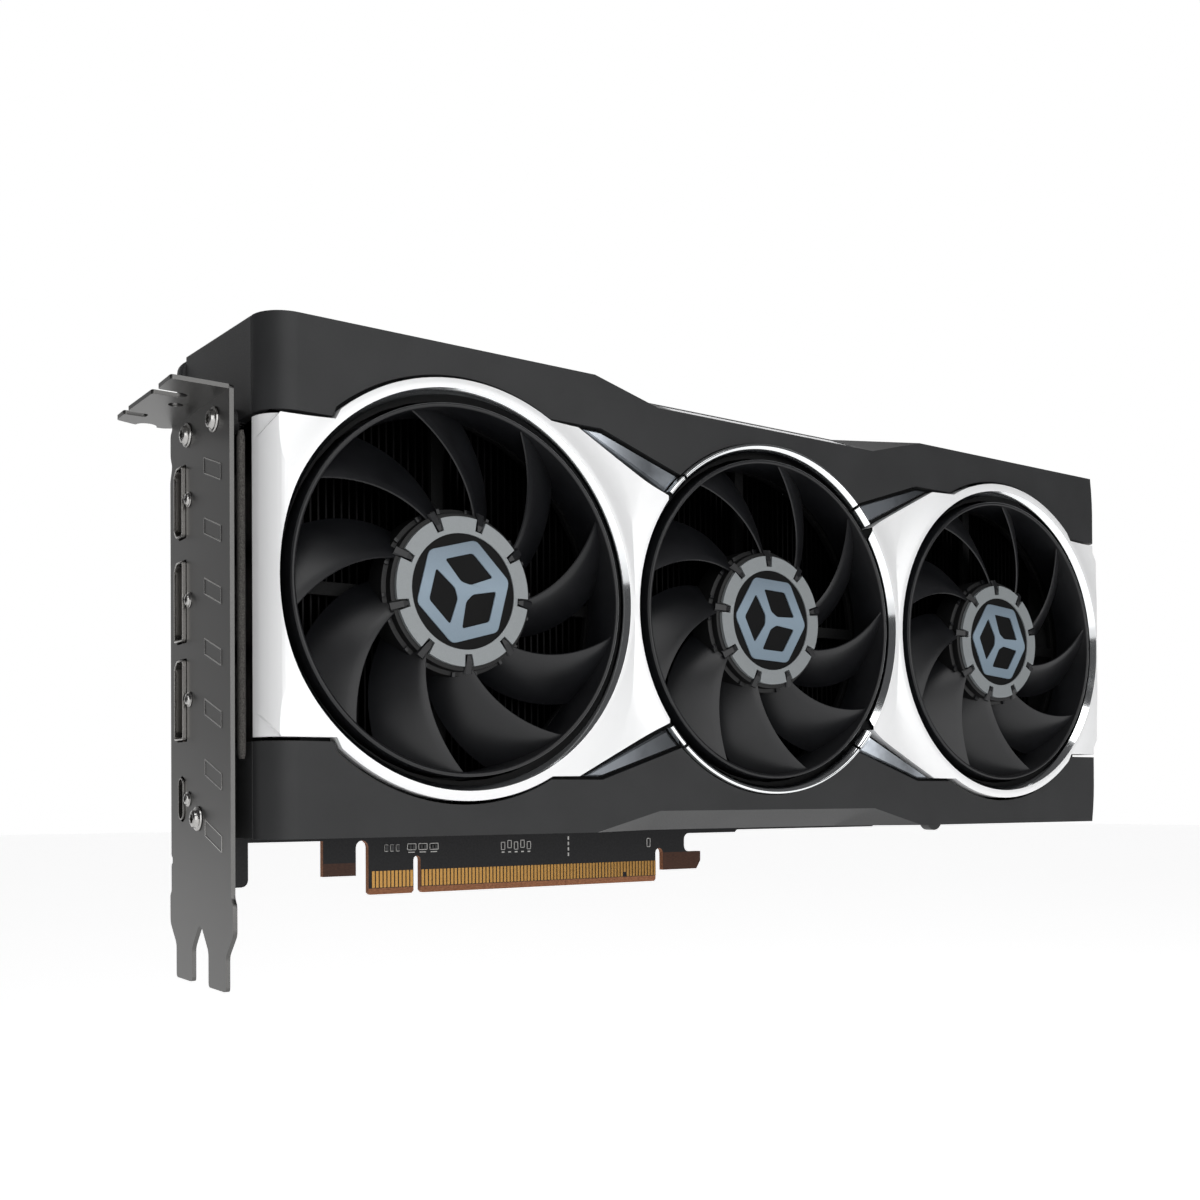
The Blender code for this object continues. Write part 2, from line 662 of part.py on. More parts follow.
def build_fin_stack():
    """Comb of fins on a spine that steps forward over the power sockets."""
    spine_t = 1.2
    count = int((FIN_X[1] - FIN_X[0]) / FIN_PITCH)
    front = []
    for k in range(count + 1):
        x = FIN_X[0] + k * FIN_PITCH
        base = SPINE_Y - spine_t if x < SPINE_STEP_X - FIN_T else FAR_SPINE_Y - spine_t
        front += [(x, base), (x, FIN_TIP_Y), (x + FIN_T, FIN_TIP_Y), (x + FIN_T, base)]
    start = FIN_X[0]
    end = FIN_X[0] + count * FIN_PITCH + FIN_T
    front[0] = (start, SPINE_Y)
    front[-1] = (end, FAR_SPINE_Y)
    back = [(SPINE_STEP_X + 1.0, FAR_SPINE_Y), (SPINE_STEP_X + 1.0, SPINE_Y)]
    flat_piece("fin_stack", "XY", front + back, *FIN_Z, material=ALUMINIUM)


CHIP_X = 112.0
CHIP_Z = 60.0


def build_chamber():
    outline = rounded_rect((CHIP_X - 62, 24), (CHIP_X + 80, 98), 4)
    flat_piece("vapour_chamber", "XZ", outline, -6.2, -2.4, material=COPPER)


def build_backplate():
    outline = rounded_rect((LEFT_X - 1, BOTTOM_Z), (CARD_LENGTH - 4, TOP_BACK_Z), 3.0)
    plate = flat_piece("backplate", "XZ", outline, *BACKPLATE_Y, material=CHARCOAL)
    pocket = flat_piece("backplate_pocket", "XZ",
                        rounded_rect((LEFT_X + 1, BOTTOM_Z + 2), (CARD_LENGTH - 6, TOP_BACK_Z - 2), 2.0),
                        BACKPLATE_Y[0] - 1, BACKPLATE_Y[1] - 1.6)
    window = flat_piece("backplate_window", "XZ",
                        rounded_rect((CHIP_X - 33, CHIP_Z - 33), (CHIP_X + 33, CHIP_Z + 33), 5.0),
                        0, 20)
    cut(plate, pocket, window)


RETENTION_HALF = 26.0
RETENTION_SCREWS = [(CHIP_X + a * RETENTION_HALF, CHIP_Z + b * RETENTION_HALF)
                    for a in (-1, 1) for b in (-1, 1)]


def build_retention():
    """Spring frame behind the chip, with its four screws."""
    ring = rounded_rect((CHIP_X - 30, CHIP_Z - 30), (CHIP_X + 30, CHIP_Z + 30), 5)
    hollow = rounded_rect((CHIP_X - 19, CHIP_Z - 19), (CHIP_X + 19, CHIP_Z + 19), 4)
    bores = [circle(spot, 1.5, 16) for spot in RETENTION_SCREWS]
    flat_piece("retention_frame", "XZ", ring, 4.6, 5.8, holes=[hollow, *bores], material=NICKEL)
    for number, spot in enumerate(RETENTION_SCREWS, 1):
        turned(f"retention_screw_{number}", spot,
               [(0.0, -2.2), (1.2, -2.2), (1.2, 5.9), (2.6, 5.9), (2.6, 7.1), (2.2, 7.5), (0.0, 7.5)],
               14, NICKEL)


# Circuit board and what it carries


def board_outline():
    """Board edge from the lower left leg round the connector and its hooks."""
    left, right = BOARD_X
    low = BOARD_BOTTOM_Z
    key_low = 8.85
    slot = arc((KEY_X - 14.3, 11.2), 1.6, 180, 0, 6)
    key = arc((KEY_X, key_low - 0.95), 0.95, 180, 0, 6)
    far_slot = arc((KEY_X + 73.1, 7.6), 1.25, 180, 0, 6)
    hook = [(KEY_X + 74.4, 2.9), (KEY_X + 86.0, 2.9), (KEY_X + 87.4, 5.1), (KEY_X + 87.4, 7.65),
            *arc((KEY_X + 83.3, 9.25), 1.6, 270, 180, 4),
            *arc((KEY_X + 83.3, 11.05), 1.6, 180, 90, 4)]
    return [(left, 4.5), *arc((left + 1.5, 4.5), 1.5, 180, 270, 3)[1:], (14.2, 3.0),
            *arc((14.2, 4.5), 1.5, 270, 360, 3)[1:], (15.7, low + 0.2), (KEY_X - 24.1, low + 0.2),
            (KEY_X - 24.1, 4.6), (KEY_X - 15.9, 4.6), *slot, (KEY_X - 12.7, 0.5), (KEY_X - 12.2, 0.0),
            (KEY_X - 1.5, 0.0), (KEY_X - 0.95, 0.6), *key, (KEY_X + 0.95, 0.6), (KEY_X + 1.5, 0.0),
            (KEY_X + 71.3, 0.0), (KEY_X + 71.85, 0.5), *far_slot, *hook,
            (KEY_X + 100.0, low), (KEY_X + 100.8, low + 0.7), (KEY_X + 155.0, low + 0.7),
            (KEY_X + 156.0, 16.0), (right, 16.0), (right, BOARD_TOP_Z), (left, BOARD_TOP_Z)]


def build_board():
    bores = [circle(spot, 1.5, 16) for spot in RETENTION_SCREWS]
    flat_piece("circuit_board", "XZ", board_outline(), 0.0, BOARD_T, holes=bores, material=BOARD_BLACK)


def finger_comb(name, first_x, count):
    """A row of edge contacts on their plating bar."""
    low, high = FINGER_Z
    bar = 0.4
    points = [(first_x - FINGER_W / 2, high + bar)]
    for k in range(count):
        x = first_x + k * FINGER_PITCH
        points += [(x - FINGER_W / 2, low), (x + FINGER_W / 2, low)]
        if k < count - 1:
            points += [(x + FINGER_W / 2, high), (x + FINGER_PITCH - FINGER_W / 2, high)]
    points.append((first_x + (count - 1) * FINGER_PITCH + FINGER_W / 2, high + bar))
    flat_piece(name, "XZ", points, -0.12, -0.04, material=GOLD)


def build_contacts():
    finger_comb("contact_strip_short", KEY_X - 11.5, 11)
    finger_comb("contact_strip_long", KEY_X + 1.5, 71)


def build_chips():
    package = box("gpu_package", (CHIP_X - 22.5, -1.3, CHIP_Z - 22.5),
                  (CHIP_X + 22.5, -SMALL_GAP, CHIP_Z + 22.5), STEEL_GREY)
    die = box("gpu_die", (CHIP_X - 13, -2.3, CHIP_Z - 10), (CHIP_X + 13, -1.2, CHIP_Z + 10))
    unite(package, die)
    spots = [(CHIP_X + side * 33, CHIP_Z + k * 17.0) for side in (-1, 1) for k in (-1, 0, 1)]
    spots += [(CHIP_X + side * 8.5, CHIP_Z + 33.5) for side in (-1, 1)]
    for number, (x, z) in enumerate(spots, 1):
        wide, tall = (7.0, 6.0) if abs(x - CHIP_X) < 20 else (6.0, 7.0)
        if number <= 6:
            wide, tall = 6.0, 7.0
        box(f"memory_chip_{number}", (x - wide, -1.4, z - tall), (x + wide, -SMALL_GAP, z + tall), BLACK)
    for number, x in enumerate((26.0, 214.0), 1):
        box(f"power_inductor_{number}", (x - 5, -5.2, 50), (x + 5, -SMALL_GAP, 60), STEEL_GREY)


# Power sockets

SOCKET_W = 18.9
SOCKET_X = [205.0, 205.0 + 18.9 + 0.6]
SOCKET_Y = (-12.6, -0.3)
SOCKET_Z = (99.0, 116.0)
PIN_PITCH = 4.2


def build_power_sockets():
    """Two eight-way sockets that open at the top edge of the card."""
    for number, x in enumerate(SOCKET_X, 1):
        body = box(f"power_socket_{number}", (x, SOCKET_Y[0] + 2.0, SOCKET_Z[0]),
                   (x + SOCKET_W, SOCKET_Y[1], SOCKET_Z[1]), BLACK)
        for column in range(4):
            for row in range(2):
                px = x + SOCKET_W / 2 + (column - 1.5) * PIN_PITCH
                py = SOCKET_Y[1] - 2.9 - row * PIN_PITCH
                cavity = box(f"cavity_{number}_{column}_{row}", (px - 1.75, py - 1.75, SOCKET_Z[1] - 11),
                             (px + 1.75, py + 1.75, SOCKET_Z[1] + 1))
                cut(body, cavity)
        latch = box(f"latch_{number}", (x + SOCKET_W / 2 - 2.0, SOCKET_Y[0], SOCKET_Z[1] - 6),
                    (x + SOCKET_W / 2 + 2.0, SOCKET_Y[0] + 2.2, SOCKET_Z[1] - 4.4))
        unite(body, latch)


# Slot bracket, sockets and screws

PORT_Y = -3.3
HDMI_Z = 85.9
DP_Z = [64.7, 43.7]
USB_Z = 22.7
PORT_OUT = 0.8
BRACKET_SCREWS = [(-7.6, 99.6), (-24.0, 99.2), (-13.4, 18.6)]
PORT_SCREWS = [(-8.3, HDMI_Z), (-8.3, DP_Z[0]), (-8.3, DP_Z[1]), (-7.4, USB_Z)]


def wide_socket_outline(center_z, half_width, half_depth, notch):
    """Socket mouth in the YZ plane with its narrow side towards the board."""
    y, z = PORT_Y, center_z
    return [(y - half_depth, z - half_width), (y + half_depth - notch, z - half_width),
            (y + half_depth, z - half_width + notch), (y + half_depth, z + half_width - notch),
            (y + half_depth - notch, z + half_width), (y - half_depth, z + half_width)]


def keyed_socket_outline(center_z, half_width, half_depth, notch):
    """Socket mouth with one slanted corner."""
    y, z = PORT_Y, center_z
    return [(y - half_depth, z - half_width), (y + half_depth, z - half_width),
            (y + half_depth, z + half_width - notch), (y + half_depth - notch, z + half_width),
            (y - half_depth, z + half_width)]


def stadium(center_z, half_width, half_depth):
    y, z = PORT_Y, center_z
    reach = half_width - half_depth
    return arc((y, z + reach), half_depth, 0, 180, 6) + arc((y, z - reach), half_depth, 180, 360, 6)


SOCKET_SHAPES = {
    "video_socket_upper": (wide_socket_outline, HDMI_Z, 7.5, 2.8, 1.6, 11.0),
    "video_socket_middle": (keyed_socket_outline, DP_Z[0], 8.5, 2.9, 1.6, 13.0),
    "video_socket_lower": (keyed_socket_outline, DP_Z[1], 8.5, 2.9, 1.6, 13.0),
}


def build_sockets():
    """Metal shells through the bracket, each with its contact tongue."""
    wall = 0.45
    for name, (outline, z, half_w, half_d, notch, depth) in SOCKET_SHAPES.items():
        shell = flat_piece(name, "YZ", outline(z, half_w, half_d, notch), -PORT_OUT, depth, material=NICKEL)
        mouth = flat_piece(name + "_mouth", "YZ",
                           outline(z, half_w - wall, half_d - wall, notch), -PORT_OUT - 1, depth - 1.2)
        tongue = box(name + "_tongue", (1.0, PORT_Y - 0.2, z - half_w + 2.2),
                     (depth - 1.0, PORT_Y + 0.8, z + half_w - 2.2))
        cut(shell, mouth)
        unite(shell, tongue)
    shell = flat_piece("data_socket", "YZ", stadium(USB_Z, 4.5, 1.65), -PORT_OUT + 0.4, 8.0, material=NICKEL)
    mouth = flat_piece("data_socket_mouth", "YZ", stadium(USB_Z, 4.2, 1.35), -PORT_OUT - 1, 7.0)
    tongue = box("data_socket_tongue", (1.2, PORT_Y - 0.35, USB_Z - 3.2), (7.5, PORT_Y + 0.35, USB_Z + 3.2))
    cut(shell, mouth)
    unite(shell, tongue)


def bracket_outline():
    """Plate in the YZ plane from its bend down to the two prongs."""
    y0, y1 = PLATE_Y
    f0, f1 = FOOT_Y
    half = PRONG_W / 2
    taper_z, prong_z = -4.2, -8.5
    far, near = PRONG_CENTERS
    middle = (far + near) / 2
    return [(y0, BRACKET_TOP_Z), (y0, 3.0), (f0, 1.8), (f0, taper_z), (near - half, prong_z),
            (near - half, BRACKET_BOTTOM_Z + 1), (near - half + 1, BRACKET_BOTTOM_Z),
            (near + half - 1, BRACKET_BOTTOM_Z), (near + half, BRACKET_BOTTOM_Z + 1), (near + half, prong_z),
            (middle - 0.6, taper_z + 0.5), (middle + 0.6, taper_z + 0.5),
            (far - half, prong_z), (far - half, BRACKET_BOTTOM_Z + 1), (far - half + 1, BRACKET_BOTTOM_Z),
            (far + half - 1, BRACKET_BOTTOM_Z), (far + half, BRACKET_BOTTOM_Z + 1), (far + half, prong_z),
            (f1, taper_z), (f1, 1.8), (y1, 2.6), (y1, 8.4), (y1 - 0.8, 8.8), (y1 - 0.8, 10.0),
            (y1, 10.4), (y1, 92.0), (y1 - 1.4, 95.0), (y1 - 0.2, 97.0), (y1 - 0.2, 102.0),
            (y1 - 1.4, 103.0), (y1 - 1.4, BRACKET_TOP_Z)]


def tab_outline():
    """Mounting tab in the XY plane, with its two screw slots at the free edge."""
    y0, y1 = PLATE_Y[0] + 0.2, PLATE_Y[1] - 1.5
    edge = -TAB_DEPTH
    return [(0.5, y0), (edge + 1.0, y0), (edge, y0 + 1.0), (edge, y0 + 8.2), (edge + 4.6, y0 + 8.2),
            *arc((edge + 4.6, y0 + 10.0), 1.8, -90, 90, 5)[1:-1],
            (edge + 4.6, y0 + 11.8), (edge, y0 + 11.8), (edge - 0.4, y1 - 8.0), (edge + 4.0, y1 - 8.0),
            (edge + 4.0, y1 - 5.4), (edge - 0.4, y1 - 5.4), (edge - 0.4, y1),
            (edge + 3.6, y1 + 1.4), *arc((edge + 6.2, y1 + 1.4), 2.2, 180, 360, 6), (-1.6, y1 + 1.4),
            (0.5, y1)]


def build_bracket():
    plate = flat_piece("bracket", "YZ", bracket_outline(), 0.0, BRACKET_T, material=BRACKET_STEEL,
                       holes=bracket_holes())
    hole = circle((-TAB_DEPTH + 6.4, -15.3), 1.5, 16)
    tab = flat_piece("bracket_tab", "XY", tab_outline(), BRACKET_TOP_Z - BRACKET_T, BRACKET_TOP_Z,
                     holes=[hole])
    unite(plate, tab)


def bracket_holes():
    clear = 0.35
    holes = [outline(z, half_w + clear, half_d + clear, notch)
             for outline, z, half_w, half_d, notch, _ in SOCKET_SHAPES.values()]
    holes.append(stadium(USB_Z, 4.9, 2.0))
    holes += [circle(spot, 1.5, 16) for spot in BRACKET_SCREWS]
    holes += [circle(spot, 1.1, 12) for spot in PORT_SCREWS]
    return holes


def screw_along_x(name, spot, head_r, head_t, shank_r, length):
    """Screw through the bracket, its head on the outer face."""
    y, z = spot
    item = turned(name, (0.0, 0.0),
                  [(0.0, -length), (shank_r, -length), (shank_r, SMALL_GAP), (head_r, SMALL_GAP),
                   (head_r, SMALL_GAP + head_t * 0.55), (head_r * 0.7, SMALL_GAP + head_t),
                   (0.0, SMALL_GAP + head_t)], 14, NICKEL)
    item.rotation_euler = (0.0, 0.0, pi / 2)
    item.location = (0.0, y * MM, z * MM)
    return item


def build_screws():
    for number, spot in enumerate(BRACKET_SCREWS, 1):
        screw_along_x(f"bracket_screw_{number}", spot, 2.9, 1.3, 1.25, 6.5)
    for number, spot in enumerate(PORT_SCREWS, 1):
        screw_along_x(f"port_screw_{number}", spot, 1.7, 0.7, 0.9, 3.2)


def build_foam():
    """Foam strip that closes the gap between the bracket and the shroud."""
    box("foam_strip", (1.75, -33.4, 30.5), (3.1, -31.0, 95.5), FOAM)


clear_scene()
PARTS = make_collection("graphics_card")
CUTTERS = make_collection("cutters")

CHARCOAL = make_material("charcoal", (0.045, 0.046, 0.049), 0.55, 0.0)
DARK = make_material("dark_plastic", (0.012, 0.012, 0.013), 0.6, 0.0)
BLACK = make_material("black_plastic", (0.02, 0.021, 0.023), 0.45, 0.0)
SILVER = make_material("silver_panel", (0.82, 0.83, 0.84), 0.3, 1.0)
CHROME = make_material("chrome_trim", (0.75, 0.77, 0.8), 0.12, 1.0)
CLEAR = make_material("clear_light_bar", (0.8, 0.8, 0.84), 0.2, 0.0)
STEEL_GREY = make_material("steel_grey", (0.3, 0.33, 0.36), 0.4, 0.3)
COPPER = make_material("copper", (0.72, 0.42, 0.3), 0.35, 1.0)
ALUMINIUM = make_material("aluminium", (0.5, 0.5, 0.52), 0.4, 1.0)
NICKEL = make_material("nickel", (0.6, 0.58, 0.55), 0.25, 1.0)
BRACKET_STEEL = make_material("bracket_steel", (0.3, 0.3, 0.3), 0.3, 1.0)
BOARD_BLACK = make_material("board_black", (0.015, 0.015, 0.016), 0.4, 0.0)
GOLD = make_material("gold", (0.83, 0.62, 0.24), 0.25, 1.0)
FOAM = make_material("foam", (0.25, 0.24, 0.23), 0.9, 0.0)

build_covers()
build_wings()
build_panels()
build_rims()
build_frame()
for fan_number, fan_x in enumerate(FAN_CENTERS, 1):
    build_rotor(fan_number, fan_x)
    build_badge(fan_number, fan_x)
    build_motor(fan_number, fan_x)
build_upper_housing()
build_lower_housing()
build_fin_stack()
build_chamber()
build_backplate()
build_retention()
build_board()
build_contacts()
build_chips()
build_power_sockets()
build_sockets()
build_bracket()
build_screws()
build_foam()
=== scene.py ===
"""Visual layer of a triple-fan graphics card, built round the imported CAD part.

All sizes are in millimetres in the card's own frame: X from the slot bracket to the far
end, -Y the fan side, +Z the top edge. Objects are made in metres.
"""

from math import atan2, cos, degrees, hypot, pi, radians, sin

import bmesh
import bpy
from mathutils import Matrix, Vector


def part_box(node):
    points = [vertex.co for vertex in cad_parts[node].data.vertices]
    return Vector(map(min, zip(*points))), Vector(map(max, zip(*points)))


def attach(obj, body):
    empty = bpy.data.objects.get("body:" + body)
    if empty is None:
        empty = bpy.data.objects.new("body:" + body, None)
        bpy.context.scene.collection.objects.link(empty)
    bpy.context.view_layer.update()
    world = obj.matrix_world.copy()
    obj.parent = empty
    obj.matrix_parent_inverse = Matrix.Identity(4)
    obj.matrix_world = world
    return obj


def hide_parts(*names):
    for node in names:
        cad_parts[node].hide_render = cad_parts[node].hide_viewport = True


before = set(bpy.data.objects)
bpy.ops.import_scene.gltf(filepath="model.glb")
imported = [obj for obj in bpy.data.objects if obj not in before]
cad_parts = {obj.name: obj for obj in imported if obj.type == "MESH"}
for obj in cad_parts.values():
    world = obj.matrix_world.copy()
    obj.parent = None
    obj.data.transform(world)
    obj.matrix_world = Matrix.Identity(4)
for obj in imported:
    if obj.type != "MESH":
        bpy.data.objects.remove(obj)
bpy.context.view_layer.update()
MM = 0.001
NOISE_LOW, NOISE_HIGH = 0.3, 0.7

# The same driving sizes as the CAD part
CARD_LENGTH = 267.0
FRONT_Y = -41.0
CENTER_Z = 66.4
TOP_Z = 118.1
BOTTOM_Z = 14.7
LEFT_X = 4.0
CORNER_R = 7.0
FAR_CORNER_R = 3.0
PANEL_T = 2.3
WRAP_Y = -34.0
STRIP_Y = -29.7
END_TAPER = 3.0
SEAM = 0.8
FAN_X = 135.3
FAN_PITCH = 87.1
FAN_CENTERS = [FAN_X - FAN_PITCH, FAN_X, FAN_X + FAN_PITCH]
LIP_Y = -42.4
LIP_R = 42.3
LIP_DEPTH = 1.5
OPENING_R = 41.2
RIM_R = 43.2
SHOULDER_R = 45.2
BLADES = 9
BLADE_PHASES = [15.5, -2.5, -4.5]
BADGE_Y = -40.3
HUB_FRONT_Y = -39.6
RING_FRONT_Y = -42.0
ROTOR_BACK_Y = -31.0
RING_R = 39.4
HUB_R = 16.9
BADGE_R = 15.9
NOTCH_R = 13.2
WING_TOP = 39.8
WING_OUTER = 57.9
WING_INNER = 51.9
TIP_HIGH = (29.3, 32.3)
TIP_LOW = (33.3, 26.9)
SHOULDER_Z = 32.4
SHOULDER_LENGTH = 14.2
RECESS_TOP_HALF = 53.5
RECESS_FLOOR_HALF = 35.5
RECESS_CREST_HALF = 31.0
RECESS_DROP = 4.7
RECESS_DEPTH = 11.0
KEY_X = 57.6
MARK_HALF = 13.0
BARE_EDGE_Z = 1.45
HOOK_TOP_Z = 7.6
HOOK_X = 38.0
HOOK_HALF = 6.0

WORK = bpy.data.collections.new("work")
bpy.context.scene.collection.children.link(WORK)
LOOKS = bpy.data.collections.new("looks")
bpy.context.scene.collection.children.link(LOOKS)


# Node materials


class Nodes:
    """Short way to wire a material's nodes."""

    def __init__(self, name):
        self.material = bpy.data.materials.new(name)
        self.material.use_nodes = True
        self.tree = self.material.node_tree
        self.shader = self.tree.nodes["Principled BSDF"]
        self.coords = self.add("ShaderNodeTexCoord").outputs["Object"]

    def add(self, kind, **settings):
        node = self.tree.nodes.new(kind)
        for key, value in settings.items():
            if key[0].isupper():
                node.inputs[key].default_value = value
            else:
                setattr(node, key, value)
        return node

    def link(self, source, target):
        self.tree.links.new(source, target)

    def set(self, **values):
        for key, value in values.items():
            self.shader.inputs[key.replace("_", " ")].default_value = value

    def stretched(self, scale):
        mapping = self.add("ShaderNodeMapping")
        mapping.inputs["Scale"].default_value = scale
        self.link(self.coords, mapping.inputs["Vector"])
        return mapping.outputs["Vector"]

    def noise(self, size_mm, detail=4.0, scale=(1, 1, 1), roughness=0.5):
        node = self.add("ShaderNodeTexNoise", Scale=1.0 / (size_mm * MM), Detail=detail, Roughness=roughness)
        self.link(self.stretched(scale), node.inputs["Vector"])
        return node.outputs["Fac"]

    def ramp(self, factor, stops):
        node = self.add("ShaderNodeValToRGB")
        elements = node.color_ramp.elements
        while len(elements) < len(stops):
            elements.new(0.5)
        for element, (place, color) in zip(elements, stops):
            element.position = place
            element.color = (*color, 1.0) if len(color) == 3 else color
        self.link(factor, node.inputs["Fac"])
        return node.outputs["Color"]

    def span(self, factor, low, high, out_low=0.0, out_high=1.0):
        node = self.add("ShaderNodeMapRange")
        for key, value in (("From Min", low), ("From Max", high), ("To Min", out_low), ("To Max", out_high)):
            node.inputs[key].default_value = value
        self.link(factor, node.inputs["Value"])
        return node.outputs["Result"]

    def math(self, operation, *values):
        node = self.add("ShaderNodeMath", operation=operation)
        for socket, value in zip(node.inputs, values):
            if isinstance(value, (int, float)):
                socket.default_value = value
            else:
                self.link(value, socket)
        return node.outputs[0]

    def mix(self, factor, first, second):
        """Colour from first to second; the second may be a plain colour."""
        node = self.add("ShaderNodeMix", data_type="RGBA")
        self.link(factor, node.inputs[0])
        for socket, value in ((node.inputs[6], first), (node.inputs[7], second)):
            if isinstance(value, tuple):
                socket.default_value = (*value, 1.0)
            else:
                self.link(value, socket)
        return node.outputs[2]

    def blend(self, factor, low, high):
        """Colour from low to high over the middle of a noise."""
        return self.ramp(factor, [(NOISE_LOW, low), (NOISE_HIGH, high)])

    def tone(self, factor, low, high):
        self.color(self.blend(factor, low, high))

    def rough(self, factor, low, high):
        self.roughness(self.span(factor, NOISE_LOW, NOISE_HIGH, low, high))

    def axis(self, name):
        node = self.add("ShaderNodeSeparateXYZ")
        self.link(self.coords, node.inputs[0])
        return node.outputs[name]

    def bump(self, height, strength, depth_mm, edge_mm=0.0):
        node = self.add("ShaderNodeBump", Strength=strength, Distance=depth_mm * MM)
        self.link(height, node.inputs["Height"])
        if edge_mm:
            bevel = self.add("ShaderNodeBevel", samples=4)
            bevel.inputs["Radius"].default_value = edge_mm * MM
            self.link(bevel.outputs["Normal"], node.inputs["Normal"])
        self.link(node.outputs["Normal"], self.shader.inputs["Normal"])

    def color(self, socket):
        self.link(socket, self.shader.inputs["Base Color"])

    def roughness(self, socket):
        self.link(socket, self.shader.inputs["Roughness"])


def grey(value, tint=(1.0, 1.0, 1.0)):
    return tuple(value * t for t in tint)


def plastic(name, low, high, rough, grain_mm=0.25, bump=0.25, tint=(0.97, 0.99, 1.03), edge_mm=0.0,
            specular=0.5):
    """Moulded plastic with a fine spark-eroded grain and faint larger tone changes."""
    n = Nodes(name)
    broad = n.noise(14.0, 2.0)
    n.tone(broad, grey(low, tint), grey(high, tint))
    grain = n.noise(grain_mm, 3.0)
    n.rough(grain, rough - 0.05, rough + 0.05)
    n.bump(grain, bump, 0.02, edge_mm)
    n.set(Specular_IOR_Level=specular)
    return n.material


def metal(name, low, high, rough, brush=(1, 1, 30), tint=(1, 1, 1), bump=0.1, grain_mm=4.0, spread=0.06,
          edge_mm=0.0, metallic=1.0):
    """Metal with fine directional brushing; brush stretches the grain along its small axis."""
    n = Nodes(name)
    lines = n.noise(grain_mm, 5.0, brush, 0.65)
    n.color(n.ramp(lines, [(0.25, grey(low, tint)), (0.75, grey(high, tint))]))
    n.roughness(n.span(lines, 0.25, 0.75, rough - spread, rough + spread))
    n.bump(lines, bump, 0.01, edge_mm)
    n.set(Metallic=metallic)
    return n.material


def solder_mask():
    """Black board lacquer, with brown laminate at the bare edges and under the contacts."""
    n = Nodes("solder_mask")
    weave = n.noise(0.5, 2.0)
    lacquer = n.blend(weave, (0.006, 0.006, 0.007), (0.012, 0.012, 0.013))
    fibre = n.noise(0.9, 3.0, (1, 1, 3))
    laminate = n.blend(fibre, (0.16, 0.06, 0.028), (0.30, 0.13, 0.06))
    geometry = n.add("ShaderNodeNewGeometry")
    facing = n.add("ShaderNodeSeparateXYZ")
    n.link(geometry.outputs["True Normal"], facing.inputs[0])
    edge = n.math("LESS_THAN", n.math("ABSOLUTE", facing.outputs["Y"]), 0.5)
    height = n.axis("Z")
    length = n.axis("X")
    contact_zone = n.math("LESS_THAN", height, BARE_EDGE_Z * MM)
    hook_zone = n.math("LESS_THAN", height, HOOK_TOP_Z * MM)
    past_contacts = n.math("GREATER_THAN", length, (KEY_X + 74.0) * MM)
    from_hook = n.math("ABSOLUTE", n.math("SUBTRACT", length, HOOK_X * MM))
    before_contacts = n.math("LESS_THAN", from_hook, HOOK_HALF * MM)
    bare_hooks = n.math("MULTIPLY", hook_zone, n.math("MAXIMUM", past_contacts, before_contacts))
    dull = n.blend(fibre, (0.035, 0.014, 0.008), (0.06, 0.024, 0.013))
    body = n.mix(bare_hooks, lacquer, dull)
    body = n.mix(contact_zone, body, laminate)
    n.color(n.mix(edge, body, laminate))
    n.roughness(n.span(n.math("MAXIMUM", edge, contact_zone), 0, 1, 0.4, 0.6))
    n.set(Specular_IOR_Level=0.18)
    n.bump(weave, 0.12, 0.01)
    return n.material


def gold_plate():
    n = Nodes("gold_plate")
    wear = n.noise(0.35, 3.0, (3, 1, 0.6))
    n.tone(wear, (0.26, 0.135, 0.035), (0.38, 0.215, 0.07))
    n.rough(wear, 0.24, 0.38)
    n.bump(wear, 0.15, 0.01)
    n.set(Metallic=1.0)
    return n.material


def foam_material():
    n = Nodes("woven_gasket")
    fine = n.noise(0.28, 4.0)
    n.tone(fine, (0.012, 0.011, 0.010), (0.085, 0.08, 0.074))
    n.bump(fine, 0.8, 0.12)
    n.set(Roughness=0.95)
    return n.material


def fan_plastic():
    """Satin black moulding of the blades, with a fine grain."""
    n = Nodes("fan_plastic")
    broad = n.noise(9.0, 3.0)
    n.tone(broad, (0.0032, 0.0034, 0.0042), (0.006, 0.0063, 0.0075))
    grain = n.noise(0.16, 3.0)
    n.rough(grain, 0.3, 0.42)
    n.bump(grain, 0.22, 0.015)
    n.set(Specular_IOR_Level=0.4)
    return n.material


def mark_paint():
    """Blue-grey metallic paint of the hub mark, fading across its width."""
    n = Nodes("mark_paint")
    across = n.span(n.axis("Z"), (CENTER_Z - MARK_HALF) * MM, (CENTER_Z + MARK_HALF) * MM)
    flake = n.noise(0.12, 2.0)
    stops = [(0.0, (0.12, 0.165, 0.205)), (0.55, (0.17, 0.225, 0.275)), (1.0, (0.09, 0.12, 0.15))]
    fade = n.ramp(across, stops)
    n.color(n.mix(n.span(flake, NOISE_LOW, NOISE_HIGH, 0.0, 0.12), fade, (0.3, 0.36, 0.42)))
    n.rough(flake, 0.34, 0.46)
    n.bump(flake, 0.1, 0.01)
    n.set(Metallic=0.15)
    return n.material


